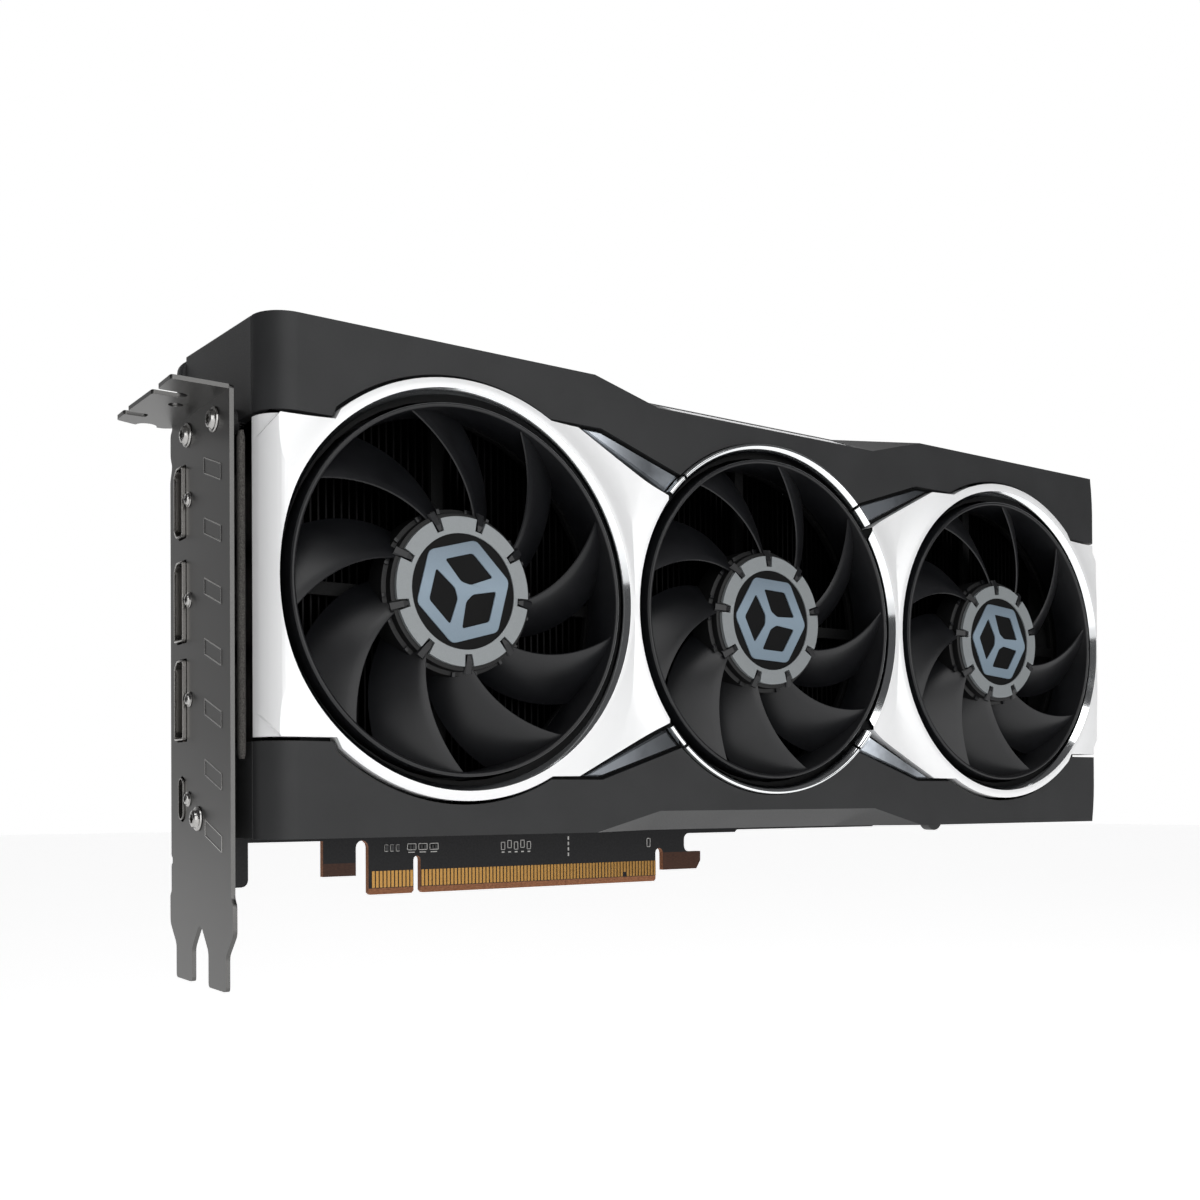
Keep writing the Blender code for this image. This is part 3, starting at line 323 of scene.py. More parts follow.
def painted_reflection_chrome(name, stops):
    """Blue-grey plating with a painted reflection that changes along the card's length from each wing's outer
    end.
    """
    n = Nodes(name)
    from_middle = n.math("SUBTRACT", n.axis("X"), FAN_X * MM)
    along = n.span(from_middle, -WING_OUTER * MM, -TIP_HIGH[0] * MM)
    along_right = n.span(from_middle, TIP_HIGH[0] * MM, WING_OUTER * MM)
    right = n.math("GREATER_THAN", from_middle, 0.0)
    place = n.math("ADD", n.math("MULTIPLY", along, n.math("SUBTRACT", 1.0, right)),
                   n.math("MULTIPLY", along_right, right))
    cloud = n.noise(3.0, 2.0)
    shifted = n.math("ADD", place, n.span(cloud, NOISE_LOW, NOISE_HIGH, -0.05, 0.05))
    # Painted reflection: the colour ramp sets the wing's brightness along the card.
    n.color(n.ramp(shifted, [(spot, grey(value, (0.9, 0.97, 1.06))) for spot, value in stops]))
    n.rough(cloud, 0.12, 0.18)
    n.bump(cloud, 0.03, 0.02)
    n.set(Metallic=0.6)
    return n.material


def clear_acrylic():
    n = Nodes("clear_acrylic")
    cloud = n.noise(5.0, 2.0)
    n.tone(cloud, (0.62, 0.62, 0.65), (0.82, 0.82, 0.85))
    n.rough(cloud, 0.12, 0.2)
    n.bump(cloud, 0.05, 0.02)
    n.set(Transmission_Weight=0.35, IOR=1.49)
    return n.material


MAT = {
    "cover": plastic("cover_plastic", 0.016, 0.020, 0.5, 0.22, 0.2, specular=0.28),
    # A darker copy of the cover plastic for the covers' rounded edges: painted shade along the edges.
    "cover_edge": plastic("cover_edge_painted_shade", 0.006, 0.008, 0.42, 0.22, 0.12, specular=0.3),
    "silver": metal("silver_panel", 0.70, 0.75, 0.36, (6, 6, 6), (0.995, 1.0, 1.005), 0.05, 0.25, 0.05,
                    metallic=0.2),
    "chrome": metal("chrome_trim", 0.82, 0.9, 0.1, (4, 4, 4), (0.97, 0.99, 1.0), 0.02, 1.0, 0.03),
    # The two wing materials are a lit and a shaded copy of one plating: painted light and painted shade.
    "wing_painted_lit": painted_reflection_chrome("wing_painted_lit",
                                ((0.0, 0.85), (0.2, 0.6), (0.42, 0.3), (0.65, 0.16), (1.0, 0.42))),
    "wing_painted_shade": painted_reflection_chrome("wing_painted_shade", ((0.0, 0.26), (0.4, 0.2), (0.65, 0.1), (0.95, 0.06))),
    "duct": plastic("duct_black", 0.003, 0.004, 0.6, 0.3, 0.15, edge_mm=0.2, specular=0.15),
    "fan": fan_plastic(),
    "hub": plastic("hub_black", 0.004, 0.006, 0.45, 0.2, 0.12, specular=0.25),
    "badge": metal("badge_ring", 0.19, 0.22, 0.38, (1, 1, 1), (0.93, 1.0, 1.03), 0.08, 0.3, 0.05,
                   metallic=0.15),
    "badge_disc": plastic("badge_disc", 0.002, 0.003, 0.5, 0.4, 0.05, specular=0.1),
    "mark": mark_paint(),
    "bracket": metal("bracket_nickel", 0.10, 0.12, 0.34, (1, 1, 1), (1.0, 0.99, 0.97), 0.015, 0.3, 0.02),
    "bright": metal("bright_nickel", 0.36, 0.44, 0.2, (2, 2, 2), (1.0, 0.985, 0.96), 0.05, 0.8, 0.05),
    "shell": metal("socket_shell", 0.34, 0.42, 0.22, (2, 2, 2), (1.0, 0.97, 0.93), 0.08, 0.8, 0.06),
    "socket_black": plastic("socket_black", 0.008, 0.011, 0.5, 0.3, 0.2),
    "tongue": plastic("socket_tongue", 0.30, 0.38, 0.45, 0.3, 0.1, (1.0, 0.98, 0.94)),
    "board": solder_mask(),
    "gold": gold_plate(),
    "ink": plastic("board_ink", 0.42, 0.55, 0.7, 0.2, 0.1, (1, 0.98, 0.95)),
    # The aluminium fins are coloured near black: painted shade for the inside of the cooler behind the
    # blades.
    "fin": metal("fin_painted_shade", 0.008, 0.014, 0.5, (1, 1, 0.2), (1, 1, 1.02), 0.05, 1.0, 0.06),
    "copper": metal("copper_plate", 0.5, 0.62, 0.3, (1, 1, 1), (1.0, 0.6, 0.42), 0.1, 1.0, 0.06),
    "foam": foam_material(),
    "housing": plastic("housing_plastic", 0.016, 0.020, 0.5, 0.22, 0.25, edge_mm=0.4),
    "chip": plastic("chip_epoxy", 0.012, 0.018, 0.5, 0.15, 0.2, edge_mm=0.1),
    "steel": metal("plain_steel", 0.42, 0.52, 0.3, (1, 1, 1), (1, 1, 1), 0.1, 0.6, 0.06, 0.1),
    "clear": clear_acrylic(),
}


# Shape builders, in millimetres


def at(x, y, z):
    """A point given in millimetres, in metres."""
    return Vector((x, y, z)) * MM


def new_object(name, bm, material=None, collection=None):
    """Turns a bmesh into an object, with its normals outward."""
    bmesh.ops.recalc_face_normals(bm, faces=bm.faces)
    mesh = bpy.data.meshes.new(name)
    bm.to_mesh(mesh)
    bm.free()
    item = bpy.data.objects.new(name, mesh)
    (collection or LOOKS).objects.link(item)
    if material:
        mesh.materials.append(MAT[material])
    return item


def evaluated_mesh(item):
    bpy.context.view_layer.update()
    return bpy.data.meshes.new_from_object(item.evaluated_get(bpy.context.evaluated_depsgraph_get()))


def settle(item):
    """Applies the modifiers of an object to its mesh."""
    done = evaluated_mesh(item)
    item.modifiers.clear()
    old = item.data
    item.data = done
    bpy.data.meshes.remove(old)
    return item


def smooth(item, angle=35.0):
    item.data.shade_smooth()
    item.data.set_sharp_from_angle(angle=radians(angle))
    return item


def boolean(item, other, operation="DIFFERENCE"):
    modifier = item.modifiers.new("b", "BOOLEAN")
    modifier.operation = operation
    modifier.solver = "EXACT"
    modifier.object = other
    settle(item)
    bpy.data.objects.remove(other, do_unlink=True)
    return item


def tidy_faces(item):
    """Merges coplanar triangles so that edges can be rounded cleanly."""
    bm = bmesh.new()
    bm.from_mesh(item.data)
    bmesh.ops.remove_doubles(bm, verts=bm.verts, dist=0.004 * MM)
    bmesh.ops.dissolve_limit(bm, angle_limit=radians(0.6), verts=bm.verts, edges=bm.edges,
                             use_dissolve_boundaries=False)
    bm.to_mesh(item.data)
    bm.free()
    return item


def soften(item, width, segments=2, angle=30.0, edge_shade_material=None):
    """Rounds the sharp edges."""
    bevel = item.modifiers.new("edge", "BEVEL")
    bevel.width = width * MM
    bevel.segments = segments
    bevel.limit_method = "ANGLE"
    bevel.angle_limit = radians(angle)
    bevel.miter_outer = "MITER_ARC"
    # The rounded faces take the given edge material; for the covers it is painted shade.
    if edge_shade_material:
        item.data.materials.append(MAT[edge_shade_material])
        bevel.material = 1
    smooth(settle(item), 40.0)
    flat = item.modifiers.new("flat", "WEIGHTED_NORMAL")
    flat.keep_sharp = True
    flat.weight = 100
    return settle(item)


def box_mesh(bm, low, high, turn=None):
    size = Matrix.Diagonal((*[(b - a) * MM for a, b in zip(low, high)], 1.0))
    middle = Matrix.Translation(Vector([(a + b) / 2 for a, b in zip(low, high)]) * MM)
    matrix = middle @ size if turn is None else turn @ middle @ size
    return bmesh.ops.create_cube(bm, size=1.0, matrix=matrix)["verts"]


def boxes(name, spans, material=None, collection=None):
    """One object of boxes, each given by its low and high corners."""
    bm = bmesh.new()
    for low, high in spans:
        box_mesh(bm, low, high)
    return new_object(name, bm, material, collection)


def block(name, low, high, material=None, collection=None):
    return boxes(name, [(low, high)], material, collection)


def skin_rows(bm, rows):
    """Joins rings of equal count into a closed skin."""
    count = len(rows[0])
    for a, b in zip(rows, rows[1:]):
        for k in range(count):
            bm.faces.new((a[k], a[(k + 1) % count], b[(k + 1) % count], b[k]))
    bm.faces.new(rows[0])
    bm.faces.new(rows[-1])


def plate(name, plane, loops, low, high, material=None, collection=None):
    """Flat outline with holes in the XZ, YZ or XY plane, from low to high on the third axis."""
    curve = bpy.data.curves.new(name, "CURVE")
    curve.dimensions = "2D"
    curve.fill_mode = "BOTH"
    curve.extrude = (high - low) / 2 * MM
    for loop in loops:
        spline = curve.splines.new("POLY")
        spline.points.add(len(loop) - 1)
        for point, (u, v) in zip(spline.points, loop):
            point.co = (u * MM, v * MM, 0.0, 1.0)
        spline.use_cyclic_u = True
    guide = bpy.data.objects.new(name + "_guide", curve)
    middle = (low + high) / 2 * MM
    place = {
        "XZ": (Vector((0, middle, 0)), (pi / 2, 0, 0)),
        "YZ": (Vector((middle, 0, 0)), (pi / 2, 0, pi / 2)),
        "XY": (Vector((0, 0, middle)), (0, 0, 0)),
    }[plane]
    guide.location, guide.rotation_euler = place
    WORK.objects.link(guide)
    solid = evaluated_mesh(guide)
    bm = bmesh.new()
    bm.from_mesh(solid)
    bpy.data.meshes.remove(solid)
    bmesh.ops.remove_doubles(bm, verts=bm.verts, dist=0.002 * MM)
    bmesh.ops.transform(bm, matrix=guide.matrix_world, verts=bm.verts)
    bpy.data.objects.remove(guide, do_unlink=True)
    return new_object(name, bm, material, collection)


def lathe_mesh(bm, profile, center, steps=64, closed=False):
    """Turns (radius, y) points about the Y axis through center (x, z)."""
    rows = []
    for radius, y in profile:
        if radius < 1e-6:
            rows.append([bm.verts.new(at(center[0], y, center[1]))])
            continue
        row = []
        for k in range(steps):
            a = 2 * pi * k / steps
            row.append(bm.verts.new(at(center[0] + radius * sin(a), y, center[1] + radius * cos(a))))
        rows.append(row)
    pairs = list(zip(rows, rows[1:]))
    if closed:
        pairs.append((rows[-1], rows[0]))
    for a, b in pairs:
        for k in range(steps):
            following = (k + 1) % steps
            corners = [a[k % len(a)], a[following % len(a)], b[following % len(b)], b[k % len(b)]]
            unique = list(dict.fromkeys(corners))
            if len(unique) > 2:
                bm.faces.new(unique)


def lathe(name, profile, center, material, steps=64, closed=False, angle=35.0):
    bm = bmesh.new()
    lathe_mesh(bm, profile, center, steps, closed)
    return smooth(new_object(name, bm, material), angle)


def polar(center, radius, angle):
    return center[0] + radius * cos(radians(angle)), center[1] + radius * sin(radians(angle))


def arc(center, radius, start, end, steps):
    return [polar(center, radius, start + (end - start) * i / steps) for i in range(steps + 1)]


def circle(center, radius, steps):
    return arc(center, radius, 0, 360, steps)[:-1]


def rounded_rect(low, high, radius, steps=6):
    (u0, v0), (u1, v1) = low, high
    corners = [((u1 - radius, v1 - radius), 0), ((u0 + radius, v1 - radius), 90),
               ((u0 + radius, v0 + radius), 180), ((u1 - radius, v0 + radius), 270)]
    return [p for center, start in corners for p in arc(center, radius, start, start + 90, steps)]


def mirrored_z(points):
    return [(x, 2 * CENTER_Z - z) for x, z in reversed(points)]


def mirrored_x(points):
    return [(2 * FAN_X - x, z) for x, z in reversed(points)]


def rounded_corners(points, radius, steps=4):
    """Rounds the corners of an open or closed outline where both sides are long enough."""
    out = []
    count = len(points)
    for i, point in enumerate(points):
        p, a, b = Vector(point), Vector(points[i - 1]), Vector(points[(i + 1) % count])
        before, after = (a - p), (b - p)
        reach = min(radius, before.length * 0.45, after.length * 0.45)
        turn = before.angle(after, pi) if before.length > 1e-6 and after.length > 1e-6 else pi
        if reach < 0.15 or turn > radians(172):
            out.append(point)
            continue
        start, end = p + before.normalized() * reach, p + after.normalized() * reach
        for k in range(steps + 1):
            t = k / steps
            q = start * (1 - t) ** 2 + p * (2 * t * (1 - t)) + end * t ** 2
            out.append((q.x, q.y))
    return out


# Front skin: covers, bright panels, wings and rims


def shoulder_arc(steps=36):
    center = (FAN_CENTERS[0], CENTER_Z)
    low = SHOULDER_Z + 2.0
    left = degrees(atan2(low, -(SHOULDER_R ** 2 - low ** 2) ** 0.5))
    right = degrees(atan2(WING_TOP, (SHOULDER_R ** 2 - WING_TOP ** 2) ** 0.5))
    return arc(center, SHOULDER_R, left, right, steps)


def cover_edge_half():
    return [(LEFT_X - 3, CENTER_Z + SHOULDER_Z), (LEFT_X + SHOULDER_LENGTH, CENTER_Z + SHOULDER_Z),
            *shoulder_arc(), (FAN_X - WING_INNER, CENTER_Z + WING_TOP),
            (FAN_X - TIP_HIGH[0], CENTER_Z + TIP_HIGH[1])]


def cover_outline():
    half = cover_edge_half()
    tip = half[-1]
    start = degrees(atan2(tip[1] - CENTER_Z, tip[0] - FAN_X))
    rim = arc((FAN_X, CENTER_Z), RIM_R + 0.2, start, 180 - start, 48)
    return [(LEFT_X - 3, TOP_Z + 2), *half, *rim, *mirrored_x(half), (2 * FAN_X - LEFT_X + 3, TOP_Z + 2)]


def end_line():
    return [(CARD_LENGTH - END_TAPER, BOTTOM_Z), (CARD_LENGTH, CENTER_Z - SHOULDER_Z),
            (CARD_LENGTH, CENTER_Z + SHOULDER_Z), (CARD_LENGTH - END_TAPER, TOP_Z)]


def front_plan(name, ahead=0.0, collection=None):
    """Prism of the shroud's plan with its rounded ends, the front moved ahead."""
    near = arc((LEFT_X + CORNER_R, FRONT_Y + CORNER_R - ahead), CORNER_R, 180, 270, 16)
    far = arc((CARD_LENGTH - FAR_CORNER_R, FRONT_Y + FAR_CORNER_R - ahead), FAR_CORNER_R, 270, 360, 8)
    outline = [(LEFT_X, STRIP_Y), *near, *far, (CARD_LENGTH, STRIP_Y)]
    return plate(name, "XY", [outline], BOTTOM_Z, TOP_Z, None, collection)


def front_shell(name):
    shell = front_plan(name)
    inner_y, back_y, drop = FRONT_Y + PANEL_T, STRIP_Y + 5, RECESS_DROP + 1.9
    hollow = [(inner_y, BOTTOM_Z + drop), (STRIP_Y, BOTTOM_Z + 2.9), (back_y, BOTTOM_Z + 2.9),
              (back_y, TOP_Z - 2.9), (STRIP_Y, TOP_Z - 2.9), (inner_y, TOP_Z - drop)]
    boolean(shell, plate("inside", "YZ", [hollow], LEFT_X + 2, CARD_LENGTH - END_TAPER - 2, None, WORK))
    boolean(shell, block("near_end", (LEFT_X - 1, WRAP_Y, 0), (LEFT_X + 4, 0, 130), None, WORK))
    boolean(shell, block("far_end", (CARD_LENGTH - 6, WRAP_Y, 0), (CARD_LENGTH + 1, 0, 130), None, WORK))
    taper = [(LEFT_X - 2, BOTTOM_Z - 1), *end_line(), (LEFT_X - 2, TOP_Z + 1)]
    boolean(shell, plate("ends", "XZ", [taper], FRONT_Y - 5, 0, None, WORK), "INTERSECT")
    return shell


def swell(center_x):
    """The panel's rise towards the lip of an opening, easing out of the flat."""
    rise = [(-0.3, 0.0), (0.5, 0.16), (1.5, 0.42), (2.6, 0.72), (3.8, 0.99), (5.2, 1.2), (6.8, 1.34),
            (8.6, 1.405)]
    depth = WRAP_Y - 2
    outer = RIM_R + rise[-1][0]
    slope = [(RIM_R + reach, LIP_Y + drop) for reach, drop in rise]
    bm = bmesh.new()
    lathe_mesh(bm, [(0, LIP_Y), *slope, (outer, depth), (0, depth)], (center_x, CENTER_Z), 128)
    piece = new_object("swell", bm, None, WORK)
    return boolean(piece, front_plan("swell_trim", FRONT_Y - LIP_Y, WORK), "INTERSECT")


def polish_lip(item, centers):
    """Gives the sloped inner face of each opening the chrome finish."""
    item.data.materials.append(MAT["chrome"])
    index = len(item.data.materials) - 1
    for face in item.data.polygons:
        for center_x in centers:
            across = Vector((face.center.x - center_x * MM, 0, face.center.z - CENTER_Z * MM))
            inner = OPENING_R - 0.2 < across.length / MM < LIP_R + 0.25
            if inner and face.normal.dot(across.normalized()) < -0.25:
                face.material_index = index


def opening_cutter(center_x):
    slope = (LIP_R - OPENING_R) / LIP_DEPTH
    bm = bmesh.new()
    profile = [(0, LIP_Y - 1.0), (LIP_R + slope, LIP_Y - 1.0), (OPENING_R, LIP_Y + LIP_DEPTH),
               (OPENING_R, STRIP_Y), (0, STRIP_Y)]
    lathe_mesh(bm, profile, (center_x, CENTER_Z), 128)
    return new_object("opening", bm, None, WORK)


def front_piece(name, outline, material, raised=()):
    shell = front_shell(name)
    for center_x in raised:
        boolean(shell, swell(center_x), "UNION")
    boolean(shell, plate("region", "XZ", [outline], FRONT_Y - 5, 0, None, WORK), "INTERSECT")
    shell.data.materials.clear()
    shell.data.materials.append(MAT[material])
    return shell


def recess_cutter(sign):
    slope = Vector((RECESS_FLOOR_HALF - RECESS_CREST_HALF, RECESS_DEPTH, RECESS_DROP))
    edge_z = TOP_Z - RECESS_DROP
    over = 2.0
    forward = -1.0 / RECESS_DEPTH
    beyond = (RECESS_DROP + over) / RECESS_DROP
    side_slope = (RECESS_TOP_HALF - RECESS_FLOOR_HALF) / RECESS_DROP
    plan_slope = (RECESS_TOP_HALF - RECESS_CREST_HALF) / RECESS_DEPTH
    spots = [(RECESS_FLOOR_HALF - slope.x * forward, FRONT_Y - 1.0, edge_z + slope.z * forward),
             (RECESS_FLOOR_HALF - slope.x * beyond, FRONT_Y + slope.y * beyond, TOP_Z + over),
             (RECESS_TOP_HALF + side_slope * over + plan_slope, FRONT_Y - 1.0, TOP_Z + over)]
    bm = bmesh.new()
    for half, y, z in spots:
        for side in (-1, 1):
            bm.verts.new(at(FAN_X + side * half, y, CENTER_Z + sign * (z - CENTER_Z)))
    bmesh.ops.convex_hull(bm, input=bm.verts)
    return new_object("recess", bm, None, WORK)


def light_bar_matrix():
    tilt = atan2(RECESS_DROP, RECESS_DEPTH)
    center = Vector((FAN_X, FRONT_Y + RECESS_DEPTH / 2, TOP_Z - RECESS_DROP / 2))
    return Matrix.Translation(center * MM) @ Matrix.Rotation(tilt, 4, "X")


def light_bar_block(name, grow, material=None, collection=None):
    slant = hypot(RECESS_DROP, RECESS_DEPTH) - 3.4
    bm = bmesh.new()
    box_mesh(bm, (-30 - grow, -slant / 2 - grow, -3.1 - grow), (30 + grow, slant / 2 + grow, -0.1 + grow),
             light_bar_matrix())
    return new_object(name, bm, material, collection)


def make_covers():
    upper = front_piece("cover_upper_skin", cover_outline(), "cover")
    boolean(upper, recess_cutter(1))
    boolean(upper, light_bar_block("window", 0.2, None, WORK))
    lower = front_piece("cover_lower_skin", mirrored_z(cover_outline()), "cover")
    boolean(lower, recess_cutter(-1))
    for skin, node in ((upper, "upper_cover"), (lower, "lower_cover")):
        tidy_faces(skin)
        # The rounded edges get the darker edge material, which is painted shade.
        soften(skin, 0.55, 3, 30.0, "cover_edge")
        finish(skin, "card", node, slot="charcoal")
    bar = soften(light_bar_block("light_bar_lens", 0.0, "clear"), 0.35, 3)
    finish(bar, "card", "light_bar", slot="clear_light_bar")


def finish(item, body, *nodes, slot=None):
    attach(item, body)
    if nodes:
        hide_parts(*nodes)
    return item


def wing_corners():
    return [(FAN_X - WING_OUTER, CENTER_Z + WING_TOP), (FAN_X - WING_INNER, CENTER_Z + WING_TOP),
            (FAN_X - TIP_HIGH[0], CENTER_Z + TIP_HIGH[1]), (FAN_X - TIP_LOW[0], CENTER_Z + TIP_LOW[1])]


def wing_outline():
    outer, inner, high, low = wing_corners()
    start = degrees(atan2(high[1] - CENTER_Z, high[0] - FAN_X)) + 1.0
    end = degrees(atan2(low[1] - CENTER_Z, low[0] - FAN_X)) - 1.0
    tip = arc((FAN_X, CENTER_Z), RIM_R + 0.3, start, end, 8)
    return [(outer[0] + 2 * SEAM, outer[1] - SEAM), (inner[0] - SEAM, inner[1] - SEAM), *tip]


def facet_wing(name, outline, node, sign_x, sign_z):
    """A wing with a broad face that slopes towards its long lower side."""
    middle = sum((Vector(p) for p in outline), Vector((0, 0))) / len(outline)
    bm = bmesh.new()
    front, rim, back = [], [], []
    for x, z in outline:
        inward = (middle - Vector((x, z)))
        pull = min(0.22, 0.9 / max(inward.length, 1e-6))
        tilt = ((z - middle.y) * sign_z * 0.05 - (x - middle.x) * sign_x * 0.012)
        fx, fz = x + inward.x * pull, z + inward.y * pull
        front.append(bm.verts.new(at(fx, FRONT_Y + 0.1 + tilt, fz)))
        rim.append(bm.verts.new(at(x, FRONT_Y + 0.75, z)))
        back.append(bm.verts.new(at(x, FRONT_Y + PANEL_T, z)))
    skin_rows(bm, [front, rim, back])
    # Wings on one diagonal get the lit copy and the others the shaded copy: painted light and shade, not two
    # platings.
    wing = new_object(name, bm, "wing_painted_lit" if sign_x * sign_z < 0 else "wing_painted_shade")
    return finish(smooth(wing, 12.0), "card", node, slot="chrome_trim")


def make_wings():
    outline = wing_outline()
    across = mirrored_x(outline)
    wings = ((outline, "upper_left", -1, 1), (across, "upper_right", 1, 1),
             (mirrored_z(outline), "lower_left", -1, -1), (mirrored_z(across), "lower_right", 1, -1))
    for number, (shape, place, sign_x, sign_z) in enumerate(wings, 1):
        facet_wing(f"wing_skin_{number}", shape, f"wing_{place}", sign_x, sign_z)


def panel_outline():
    edge = cover_edge_half()
    shoulders = [(x, z - SEAM) for x, z in edge[:2]]
    center = (FAN_CENTERS[0], CENTER_Z)
    scale = 1 - SEAM / SHOULDER_R
    ring = [(center[0] + (x - center[0]) * scale, center[1] + (z - center[1]) * scale)
            for x, z in shoulder_arc()]
    outer, _, _, tip = wing_corners()
    upper = [*shoulders, *ring, (outer[0] - SEAM / 2, outer[1] - SEAM),
             (tip[0] - SEAM / 2, tip[1] - SEAM / 2)]
    return [*upper, *mirrored_z(upper)]


def make_panels():
    outline = panel_outline()
    shapes = {"left": (outline, FAN_CENTERS[0]), "right": (mirrored_x(outline), FAN_CENTERS[2])}
    for side, (shape, center_x) in shapes.items():
        panel = front_piece(f"panel_{side}_skin", shape, "silver", raised=(center_x, FAN_X))
        boolean(panel, opening_cutter(center_x))
        boolean(panel, opening_cutter(FAN_X))
        tidy_faces(panel)
        soften(panel, 0.14, 2, 24.0)
        polish_lip(panel, (center_x, FAN_X))
        finish(panel, "card", f"{side}_panel", slot="silver_panel")


def lip_ring(bm, center, start, end, steps):
    """Polished lip with a rounded crown, swept between two angles in the XZ plane."""
    profile = [(RIM_R + 0.02, FRONT_Y + 0.6), (RIM_R, LIP_Y + 0.5), (RIM_R - 0.2, LIP_Y + 0.12),
               (LIP_R + 0.35, LIP_Y - 0.02), (LIP_R + 0.02, LIP_Y + 0.1), (LIP_R - 0.45, LIP_Y + 0.65),
               (OPENING_R + 0.05, LIP_Y + LIP_DEPTH), (OPENING_R - 0.02, LIP_Y + LIP_DEPTH + 0.7),
               (OPENING_R + 0.4, LIP_Y + LIP_DEPTH + 0.9)]
    rows = []
    for i in range(steps + 1):
        a = radians(start + (end - start) * i / steps)
        rows.append([bm.verts.new(at(center[0] + r * cos(a), y, center[1] + r * sin(a)))
                     for r, y in profile])
    skin_rows(bm, rows)


def make_rims():
    """Bright arcs over the middle opening, split where the covers and wings meet."""
    low = degrees(atan2(TIP_LOW[1], TIP_LOW[0])) + 0.8
    high = degrees(atan2(TIP_HIGH[1], TIP_HIGH[0]))
    seam = 0.55
    for name, base in (("upper", 0), ("lower", 180)):
        bm = bmesh.new()
        center = (FAN_X, CENTER_Z)
        lip_ring(bm, center, base + high + seam, base + 180 - high - seam, 72)
        lip_ring(bm, center, base + low, base + high - seam, 10)
        lip_ring(bm, center, base + 180 - high + seam, base + 180 - low, 10)
        rim = new_object(f"rim_{name}_skin", bm, "chrome")
        finish(smooth(rim, 50.0), "card", f"rim_arc_{name}", slot="chrome_trim")


# Fans


BLADE_CHORD = 27.0
BLADE_NARROWING = 3.0
BLADE_SWEEP = 1.42
BLADE_BEND = 0.0021
BLADE_LEAN = 1.9
BLADE_DEPTH = 8.6
BLADE_T = 1.0
MARK_DISC_R = 12.6


def blade_point(radius, start, part, side):
    """Point on a blade: part runs from its front edge to its back edge, side picks the face."""
    outward = (radius - HUB_R + 0.7) / (RING_R - 0.5 - HUB_R + 0.7)
    reach = radius - NOTCH_R
    sweep = start - BLADE_SWEEP * reach + BLADE_BEND * reach ** 2
    swing = (BLADE_CHORD - BLADE_NARROWING * outward) * part ** 1.12
    y = HUB_FRONT_Y + 0.5 - BLADE_LEAN * outward + BLADE_DEPTH * part ** 1.25
    half = BLADE_T * (0.35 + 0.65 * (4 * part * (1 - part)) ** 0.5) / 2
    angle = radians(sweep + swing) + side * half * 0.75 / radius
    return Vector((radius * sin(angle), y - side * half * 0.65, radius * cos(angle)))


def blade_mesh(bm, center_x, start, stations=14, chords=10):
    rows = []
    for i in range(stations + 1):
        radius = HUB_R - 0.5 + (RING_R - 0.3 - HUB_R + 0.5) * i / stations
        parts = [j / chords for j in range(chords + 1)]
        loop = [blade_point(radius, start, t, -1) for t in parts]
        loop += [blade_point(radius, start, t, 1) for t in reversed(parts)]
        rows.append([bm.verts.new((p + Vector((center_x, 0, CENTER_Z))) * MM) for p in loop])
    skin_rows(bm, rows)


def about_fan(center_x, angle):
    """Places a shape made above the origin round a fan's axis."""
    return Matrix.Translation(at(center_x, 0, CENTER_Z)) @ Matrix.Rotation(radians(angle), 4, "Y")


def root_rib(bm, center_x, start):
    """Blade root that runs over the hub's front into the badge notch."""
    turn = about_fan(center_x, start)
    low, high = NOTCH_R + 0.35, HUB_R + 0.6
    sections = ((low, 0.32, BADGE_Y + 0.05), (low + 1.2, 0.62, BADGE_Y - 0.05),
                (high, 0.7, HUB_FRONT_Y + 0.1))
    corners = []
    for r, half, y in sections:
        for x in (-half, half):
            corners += [(x, y, r), (x * 1.5, HUB_FRONT_Y + 0.5, r)]
    verts = [bm.verts.new(turn @ at(*corner)) for corner in corners]
    bmesh.ops.convex_hull(bm, input=verts)


def make_fan(number):
    center_x = FAN_CENTERS[number - 1]
    phase = BLADE_PHASES[number - 1]
    center = (center_x, CENTER_Z)
    body = f"fan_{number}"
    bm = bmesh.new()
    for k in range(BLADES):
        blade_mesh(bm, center_x, phase + k * 360 / BLADES)
    blades = new_object(f"blades_{number}", bm, "fan")
    finish(smooth(blades, 50.0), body, slot="black_plastic")
    crown = [(-1.05, 0.45), (-0.85, 0.12), (-0.45, 0.0), (-0.1, 0.2), (0.0, 0.7)]
    profile = [(RING_R + r, RING_FRONT_Y + y) for r, y in crown]
    profile += [(RING_R, ROTOR_BACK_Y), (RING_R - 1.0, ROTOR_BACK_Y)]
    ring = lathe(f"blade_ring_{number}", profile, center, "fan", 160, True, 50)
    finish(ring, body, slot="black_plastic")
    front = HUB_FRONT_Y
    face = [(-0.5, 0.25), (-0.12, 0.4), (0.0, 0.8), (0.0, 2.2), (0.9, 2.5), (1.0, 2.9)]
    profile = [(0, front + 0.25), *[(HUB_R + r, front + y) for r, y in face], (HUB_R + 1.0, ROTOR_BACK_Y),
               (HUB_R - 1.4, ROTOR_BACK_Y), (HUB_R - 1.4, front + 3.6), (0, front + 3.6)]
    hub = lathe(f"hub_{number}", profile, center, "hub", 128)
    finish(hub, body, f"fan_rotor_{number}", slot="black_plastic")
    bm = bmesh.new()
    for k in range(BLADES):
        start = phase + k * 360 / BLADES
        root_rib(bm, center_x, start)
        for step in (-9.0, -6.4, 8.5):
            box_mesh(bm, (-0.35, front + 1.9, HUB_R + 0.1), (0.35, front + 2.6, HUB_R + 1.15),
                     about_fan(center_x, start + step))
    ribs = new_object(f"blade_roots_{number}", bm, "fan")
    finish(ribs, body, slot="black_plastic")
    make_badge(number, center_x, phase, body)


